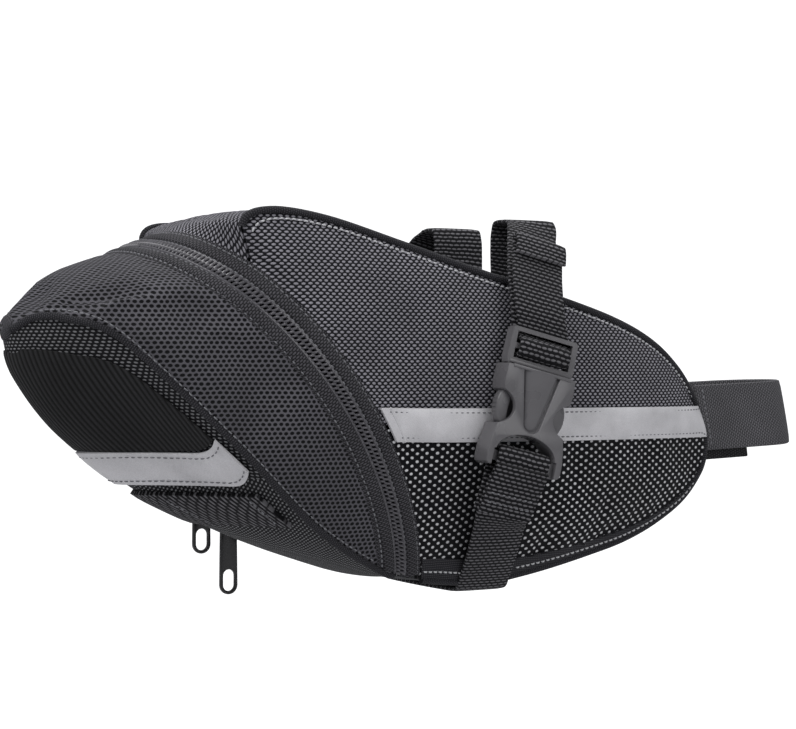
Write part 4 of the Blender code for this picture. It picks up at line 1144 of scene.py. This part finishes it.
skin = sheet("tail_ribbed_skin", belly, grid, ribbed, rear_place, **sizes)
ride_on(skin, "tail_cap", "ribbed_fabric", "tail_ribbed_panel")
grid, low_row, high_row = [], [], []
for v in spaced(-0.93, 0.93, 71):
    low, high = strip_levels(v)
    row = [(s, v) for s in spaced(tail_station(v, high), tail_station(v, low), 9)]
    grid.append(row)
    high_row.append(facing(belly, *row[1]))
    low_row.append(facing(belly, *row[7]))
sizes = {"lift": 1.75 * MM, "thick": 0.8 * MM, "puff": 0.25 * MM, "ripple": 0.4 * MM}
strip = sheet("tail_strip", belly, grid, silver, rear_place, **sizes)
ride_on(strip, "tail_cap", "reflective_tape", "tail_reflective_strip")
for label, row in (("upper", high_row), ("lower", low_row)):
    name = f"tail_strip_stitches_{label}"
    sew(name, row, 1.85, dark_thread, "tail_cap", "reflective_tape", thick=0.2 * MM)

rows = spaced(TIP, ZIP - 0.35, 110)
found = [seam(s, 1.0, -1)[:2] for s in reversed(rows)] + [seam(s, 1.0, 1)[:2] for s in rows]
edge = swept("tail_binding", *lifted(found, 0.1), oval(1.1, 0.9), tape_cloth)
ride_on(edge, "tail_cap", "zip_tape", "tail_piping")
for surface, _, hand in hands:
    row = []
    for s in spaced(1.2, ZIP - 1.1, 120):
        high = max(np.linalg.norm(surface(s, 0.0) - surface(s, 1.0)), 6 * MM)
        row.append(facing(surface, s, 1.0 - 3.0 * MM / high, 0.0, 1.0))
    sew(f"tail_stitches_{hand}", row, 0.5, dark_thread, "tail_cap", "zip_tape", thick=0.24 * MM)

# The tip between the hood and the rear panel, closed by a small round of the hood's cloth.
border = [arch(0.0, v) for v in spaced(-1.0, 1.0, 40)] + [belly(0.0, v) for v in spaced(0.9, -0.9, 14)]
middle = sum(border) / len(border)
points, cloth = [], []
for share, rise in ((1.0, -1.2), (1.0, 0.15), (0.86, 0.9), (0.6, 1.5), (0.3, 1.8)):
    points += [middle + (p - middle) * share - np.array([rise, 0.0, 0.0]) * MM for p in border]
    cloth += [(p[1] / MM * share, p[2] / MM * share) for p in border]
tip = outward(mesh_object("tail_tip", points, capped_tube(5, len(border)), hood_cloth, cloth))
ride_on(tip, "tail_cap", "fabric")

# ------------------------------------------------------------------------------------------------
# Straps. Polypropylene webbing, 18 mm wide, ribbed across. On each side one is sewn to the bag's
# top, goes over the saddle rail and round the buckle's ladder, and one joins both buckles below.
# ------------------------------------------------------------------------------------------------

WEBBING, WEBBING_THICK = 18.0, 1.3
webbing = cloth_material(
    "strap_webbing", (0.17, 0.166, 0.178), (0.003, 0.003, 0.004), 2.0, 1.24, 1.8, 0.62, relief=0.35,
    yarn=0.6
)
twill = cloth_material(
    "post_strap_twill", (0.15, 0.146, 0.158), (0.022, 0.022, 0.024), 1.1, 0.75, 1.0, 0.55, relief=0.15,
    yarn=0.5
)
hooks = cloth_material(
    "hook_tape", (0.06, 0.06, 0.062), (0.008, 0.008, 0.009), 0.9, 0.9, 0.5, 0.5, relief=0.5, yarn=0.3
)


def pattern(x, y, z):
    return np.array([(x - SEAT[0]) * MM, y * MM, (z - SEAT[1]) * MM])


def eased(path, steps=7):
    """More points along a path, on a smooth curve through the given ones."""
    path = [np.asarray(p, float) for p in path]
    full = []
    for i in range(len(path) - 1):
        before, here, there, after = (path[min(max(i + k, 0), len(path) - 1)] for k in (-1, 0, 1, 2))
        short = min(np.linalg.norm(there - here) / max(np.linalg.norm(there - before), 1e-6), 1.0)
        far = min(np.linalg.norm(there - here) / max(np.linalg.norm(after - here), 1e-6), 1.0)
        out, back = (there - before) * short, (after - here) * far
        full += [smooth(t, here, there, out, back) for t in np.arange(steps) / steps]
    return [*full, path[-1]]


def strap(name, path, across, width, thick, material, soft=0.12):
    """Flat webbing along a path of its middle: rounded selvedges, and a face that is a little full."""
    path, across = eased(path), eased(across)
    half, rim = width / 2, thick / 2
    top = [
        (half * a, rim * (1 - 0.35 * abs(a) ** 8) + soft * (1 - a * a))
        for a in np.linspace(0.97, -0.97, 11)
    ]
    outline = [(half, 0.0), *top, (-half, 0.0), *[(a, -b) for a, b in reversed(top)]]
    points, cloth = [], []
    for point, way, wide, far in zip(path, directions(path), across, lengths(path)):
        wide = unit(wide)
        out = unit(np.cross(wide, way))
        points += [point + (wide * a + out * b) * MM for a, b in outline]
        cloth += [(a, far / MM) for a, _ in outline]
    faces = capped_tube(len(path), len(outline))
    return outward(mesh_object(name, points, faces, material, cloth))


LEAN = math.radians(13.7)
UP = np.array([math.sin(LEAN), 0.0, math.cos(LEAN)])
FORWARD = np.array([math.cos(LEAN), 0.0, -math.sin(LEAN)])
STRAIGHT = np.array([1.0, 0.0, 0.0])
RAIL = 22.0


def buckle_place(side):
    """Places a point of the buckle: forward across it, out from the bag, up along it."""
    return placed(pattern(13.1, side * 43.6, -32.3), FORWARD, np.array([0.0, side, 0.0]), UP)


def ahead_on(points):
    """A list of points, each with the webbing lying across the bag's own lean."""
    return [(point, FORWARD) for point in points]


def webbing_strap(name, found):
    """A buckled strap, from its points and the ways across it."""
    return strap(name, *zip(*found), WEBBING, WEBBING_THICK, webbing, soft=0.05)


def rail_strap_path(side):
    """From the bag's top over the rail, down to the ladder, round it, and up again to the folded end."""
    at = buckle_place(side)
    seat = WEBBING_THICK / 2
    station = solve(lambda s: crown(s, 0.0)[0], 0.0, FRONT_EDGE, NOSE)
    rise = crown(station, 0.0)[2] / MM + SEAT[1] + 0.4 + seat
    sewn = ((32.0, rise), (20.6, rise), (18.4, rise + 0.7), (17.3, rise + 2.6))
    over = ((17.2, 38.0), (17.8, 41.4), (19.0, SEAT[1] + seat), (RAIL + 3.0, SEAT[1] + seat))
    found = ahead_on(pattern(32.0, side * y, z) for y, z in sewn)
    found += [(pattern(32.0, side * y, z), STRAIGHT) for y, z in over]
    found.append((pattern(32.0, side * (RAIL + 4.7), 42.0), unit(STRAIGHT + FORWARD)))
    found += ahead_on((pattern(30.4, side * (RAIL + 7.2), 39.2), pattern(23.8, side * 39.9, 25.6)))
    ladder = [(1.1, 47.5), (1.05, 36.8), (1.3, 35.0), (3.3, 34.5), (5.7, 34.6), (6.3, 36.2), (6.1, 38.3)]
    ladder += [(4.6, 39.3), (2.95, 40.6), (2.8, 43.0), (2.8, 48.5)]
    found += ahead_on(at(0.0 if z < 47.0 else -2.4, depth, z) for depth, z in ladder)
    tail, fold = (np.array([0.0, side * away, 0.0]) * MM for away in (1.9, 2.08))
    found += ahead_on(
        p + tail * 1.45 for p in (pattern(23.8, side * 39.9, 25.6), pattern(25.8, side * 36.8, 31.0))
    )
    end = pattern(27.4, side * 34.2, 36.0) + tail * 1.5
    found += ahead_on((end, end + fold * 0.5 + UP * MM, end + fold * 1.15 - UP * 0.4 * MM))
    return found + ahead_on([pattern(25.9, side * 36.6, 31.6) + tail * 1.45 + fold])


for side, hand in ((-1, "right"), (1, "left")):
    at = buckle_place(side)
    piece = webbing_strap(f"rail_webbing_{hand}", rail_strap_path(side))
    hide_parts(f"rail_strap_{hand}")
    ends = pattern(29.0, side * 32.0, 37.0), at(0.0, 2.0, 44.0)
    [tuple(map(float, end)) for end in ends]
    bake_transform(piece)

at_socket = [(-0.9, -12.0), (0.6, -4.0), (0.8, 2.5), (0.95, 5.6), (2.6, 7.0), (5.4, 6.9), (6.7, 5.2)]
at_socket += [(6.2, 2.0), (4.0, -3.0), (1.2, -11.0)]
below = [
    (12.6, 38.6, -49.0), (13.8, 33.4, -56.0), (15.4, 25.6, -65.0), (16.0, 23.0, -67.4), (16.2, 19.5, -68.2)
]
half = ahead_on(buckle_place(-1)(0.0, depth, z) for depth, z in at_socket)
half += [(pattern(x, -y, z), STRAIGHT) for x, y, z in below]
piece = webbing_strap("belly_webbing", half + [(p * (1, -1, 1), w) for p, w in reversed(half)])
ride_on(piece, "bag", "webbing", "belly_strap")
for side, hand in ((-1, "right"), (1, "left")):
    at = buckle_place(side)
    path = ahead_on(
        at(0.0, depth, z) for depth, z in ((7.5, 1.9), (5.5, -3.2), (2.75, -10.8), (2.2, -12.6))
    )
    ride_on(webbing_strap(f"belly_webbing_end_{hand}", path), "bag", "webbing")
    out = unit(np.array([0.0, side, 0.0]) + UP * 0.35)
    for label, depth, z in (("upper", 4.15, -7.0), ("lower", 3.15, -9.8)):
        row = [(at(x, depth, z), out) for x in (-8.2, 8.2)]
        sew(f"belly_stitches_{label}_{hand}", row, 0.75, dark_thread, "bag", "webbing", thick=0.25 * MM)

# The seat post strap: a long strap with a loop pile face, and the hook-faced tab it presses on.
POST_LEAN = math.radians(12.0)
POST_CENTRE, POST_RADIUS, POST_WIDTH, POST_THICK = 133.0, 15.0, 22.0, 1.5
lean = np.array([-math.sin(POST_LEAN), 0.0, math.cos(POST_LEAN)])


def post_height(x):
    return -17.6 + 1.8 * (x - 104.0) / 44.0


def post_place(x, y, drop=0.0):
    return pattern(x, y, post_height(x) - drop)


path = [post_place(x, POST_RADIUS) for x in (104.4, 119.0, POST_CENTRE)]
for angle in np.radians(np.arange(70.0, -91.0, -20.0)):
    path.append(post_place(POST_CENTRE + POST_RADIUS * math.cos(angle), POST_RADIUS * math.sin(angle)))
path += [post_place(x, -POST_RADIUS) for x in (119.0, 104.9)]
piece = strap("post_strap_twill", path, [lean] * len(path), POST_WIDTH, POST_THICK, twill)
ride_on(piece, "post_strap_body", "webbing", "post_strap")
inner = POST_RADIUS - POST_THICK - 0.4
path = [post_place(x, -inner, 3.2) for x in (104.2, 112.0, 124.0)]
piece = strap("post_strap_hooks", path, [lean] * len(path), POST_WIDTH, POST_THICK, hooks)
ride_on(piece, "bag", "webbing", "post_strap_tab")
for label, side in (("near", -1.0), ("far", 1.0)):
    out = np.array([0.0, side, 0.0])
    row = [(post_place(107.6, side * POST_RADIUS) + lean * up * MM, out) for up in (-9.6, 9.6)]
    name, lift = f"post_strap_stitches_{label}", POST_THICK / 2 + 0.1
    sew(name, row, lift, dark_thread, "post_strap_body", "webbing", thick=0.25 * MM)

# The loop for a tail light: webbing sewn flat across the tail, with four bar tacks.
grid = []
for v in spaced(-0.82, 0.82, 51):
    ends = (tail_station(v, level(z)) for z in reversed(LIGHT_LOOP))
    grid.append([(s, v) for s in spaced(*ends, 9)])
sizes = {"lift": 1.75 * MM, "thick": WEBBING_THICK * MM, "puff": 0.25 * MM}
piece = sheet("tail_light_webbing", belly, grid, webbing, as_cut(2, 1), **sizes)
ride_on(piece, "tail_cap", "webbing", "tail_light_loop")
tacks = []
for v in (-0.74, -0.25, 0.25, 0.74):
    levels = spaced(LIGHT_LOOP[0] + 1.0, LIGHT_LOOP[1] - 1.0, 8)
    found = [facing(belly, tail_station(v, level(z)), v) for z in levels]
    tacks.append(stitches("tacks", *lifted(found, 1.95), dark_thread, gap=0.3 * MM, thick=0.3 * MM))
ride_on(joined("tail_light_tacks", *tacks), "tail_cap", "webbing")

# ------------------------------------------------------------------------------------------------
# Side release buckles. Injection-moulded acetal in two halves. The plug carries the ladder for the
# webbing and two spring arms, whose pads show in the socket's waist.
# ------------------------------------------------------------------------------------------------

BUCKLE_THICK = 7.2
acetal, tree, shader, _ = mottled(
    "moulded_acetal", 0.35, 90.0, 3.0, (0.095, 0.092, 0.098), (0.150, 0.146, 0.155), (0.22, 0.36),
    Coat_Weight=0.15, Coat_Roughness=0.2, IOR=1.48
)
grain = in_space(tree, "TexNoise", 2600.0, ("Detail", 2.0))
feed(shader, Normal=bumped(tree, 0.35, 0.04, grain.outputs[0]))


def rectangle(left, right, low, high):
    return [(left, low), (right, low), (right, high), (left, high)]


def raised_tongue(at):
    """The socket's tapered tongue: crowned across, and closed by a round lower end."""
    low, high, wide, narrow = 13.0, 30.8, 6.1, 2.7
    points, count = [], 13
    rounded = [low + narrow * (1 - math.sin(a)) for a in np.radians((20, 40, 60, 75, 86))]
    for z in (*np.linspace(high, low + narrow, 9), *rounded):
        half = wide + (narrow - wide) * min((high - z) / (high - low - narrow), 1.0)
        half *= math.sqrt(max(1 - (max(low + narrow - z, 0.0) / narrow) ** 2, 0.004))
        rise = 1.9 * half / wide + 0.2
        for a in np.linspace(0, math.pi, count):
            points.append(at(half * math.cos(a), 5.7 + rise * math.sin(a) ** 0.7, z))
    return outward(mesh_object("tongue", points, capped_tube(len(points) // count, count), acetal))


for side, hand in ((-1, "right"), (1, "left")):
    at = buckle_place(side)
    waist = round_path((15.2, 18.3), (8.4, 5.6), 115.0, 245.0, 14)
    right = [
        (11.9, 31.0), (12.1, 26.0), *waist, (12.4, 9.6), (13.0, 6.0), (13.0, 2.6), (12.6, 1.6), (11.8, 1.2)
    ]
    outline = [(-x, z) for x, z in right] + [(x, z) for x, z in reversed(right)]
    arch_cut = round_path((0.0, 5.6), (10.4, 6.0), 0.0, 180.0, 20)
    cuts = [
        (rectangle(-10.7, 10.7, 12.4, 33.0), 1.4, 5.6), (arch_cut, -1.0, 8.2),
        (rectangle(-9.9, 9.9, -1.0, 2.6), -1.0, 8.2)
    ]
    cuts += [(rectangle(-11.0, 11.0, -1.0, 6.0), 5.4, 8.2), (rectangle(-9.9, 9.9, -1.0, 5.8), -1.0, 2.5)]
    cuts.append(
        ([(-6.7, 31.6), *round_path((0.0, 15.5), (3.1, 3.1), 200.0, 340.0, 10), (6.7, 31.6)], 6.1, 8.2)
    )
    socket = block(
        f"socket_{hand}", outline, 0.0, BUCKLE_THICK, at, acetal, bevel=0.45, cuts=cuts, segments=3
    )
    tongue = raised_tongue(at)
    lip = block("lip", rectangle(-10.4, 10.4, 30.2, 31.2), 6.2, 7.5, at, acetal, bevel=0.3)
    ride_on(joined(f"socket_{hand}", socket, tongue, lip), "bag", "plastic", f"buckle_socket_{hand}")

    bars = [(-11.4, 31.4), (11.4, 31.4), (11.8, 33.0), (11.6, 41.6), (10.8, 42.4)]
    bars += [(-10.8, 42.4), (-11.6, 41.6), (-11.8, 33.0)]
    windows = ((33.2, 36.0, 8.0), (37.6, 41.1, 8.0), (40.5, 44.0, 3.8))
    windows = [(rectangle(-9.8, 9.8, low, high), 0.0, deep) for low, high, deep in windows]
    ladder = block("ladder", bars, 1.9, 5.1, at, acetal, bevel=0.4, cuts=windows, segments=3)
    neck = block("neck", rectangle(-4.6, 4.6, 14.0, 32.0), 2.1, 4.9, at, acetal, bevel=0.4)
    guide = block("guide", rectangle(-1.0, 1.0, 15.0, 31.0), 4.8, 5.3, at, acetal, bevel=0.15)
    shoulder = block("shoulder", rectangle(-11.0, 11.0, 31.45, 32.6), 1.5, 5.5, at, acetal, bevel=0.35)
    ride_on(
        joined(f"plug_{hand}", ladder, neck, guide, shoulder), f"plug_{hand}", "plastic",
        f"buckle_plug_{hand}"
    )

    for number, name in ((-1, "rear"), (1, "front")):
        shape = [(7.0, 31.1), (10.1, 31.1), (10.15, 26.0), (10.3, 23.6), (11.1, 22.6), (11.7, 21.4)]
        shape += [(12.0, 19.8), (12.0, 18.0), (11.7, 16.6), (11.1, 15.2), (10.3, 13.8), (9.4, 13.0)]
        shape += [(8.4, 12.8), (7.6, 13.2), (7.9, 18.0), (7.3, 23.0)]
        shape = [(number * x, z) for x, z in shape]
        arm = block("arm", shape, 1.9, 5.1, at, acetal, bevel=0.55, segments=3)
        ribs = []
        for x, z in ((11.45, 21.6), (11.8, 20.4), (11.98, 19.1), (11.9, 17.8), (11.5, 16.5)):
            rib = [(number * (x + a), z + b) for a, b in ((-0.5, -0.25), (0.22, 0.0), (-0.5, 0.25))]
            ribs.append(block("rib", rib, 2.3, 4.7, at, acetal, bevel=0.0))
        ride_on(
            joined(f"arm_{name}_{hand}", arm, *ribs), f"arm_{name}_{hand}", "plastic",
            f"plug_arm_{name}_{hand}"
        )

# ------------------------------------------------------------------------------------------------
# Lining and stiffener, seen when the tail cap is open. A thin black nylon lining hangs inside both
# parts, and a sheet of polyethylene lies in the bottom of the main part.
# ------------------------------------------------------------------------------------------------

nylon_lining, tree, shader = finish_material("lining_nylon", 0.55, Sheen_Weight=0.25)
in_metres = node(tree, "TexCoord").outputs["Object"]
in_millimetres = node(
    tree, "VectorMath", (0, in_metres), (1, (1000.0,) * 3), operation="MULTIPLY"
).outputs[0]
wear = use(tree, worn, in_millimetres, Yarn=0.7, Patch=16.0).outputs
height = maths(tree, "MULTIPLY_ADD", wear["Patches"], 6.0, wear["Yarns"])
feed(shader, Base_Color=mixed(tree, wear["Yarns"], (0.010, 0.010, 0.011), (0.040, 0.040, 0.044)))
feed(shader, Normal=bumped(tree, 0.8, 0.5, height))
dark_board, pale_board = (0.035, 0.035, 0.036), (0.085, 0.085, 0.088)
board, tree, shader, mottle = mottled("polyethylene_board", 0.5, 160.0, 5.0, dark_board, pale_board)
feed(shader, Normal=bumped(tree, 0.4, 0.2, mottle))
inner_pieces = ("main_lining", nylon_lining), ("tail_lining", nylon_lining), ("bottom_stiffener", board)
for name, material in inner_pieces:
    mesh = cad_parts[name].data
    mesh.materials.clear()
    mesh.materials.append(material)
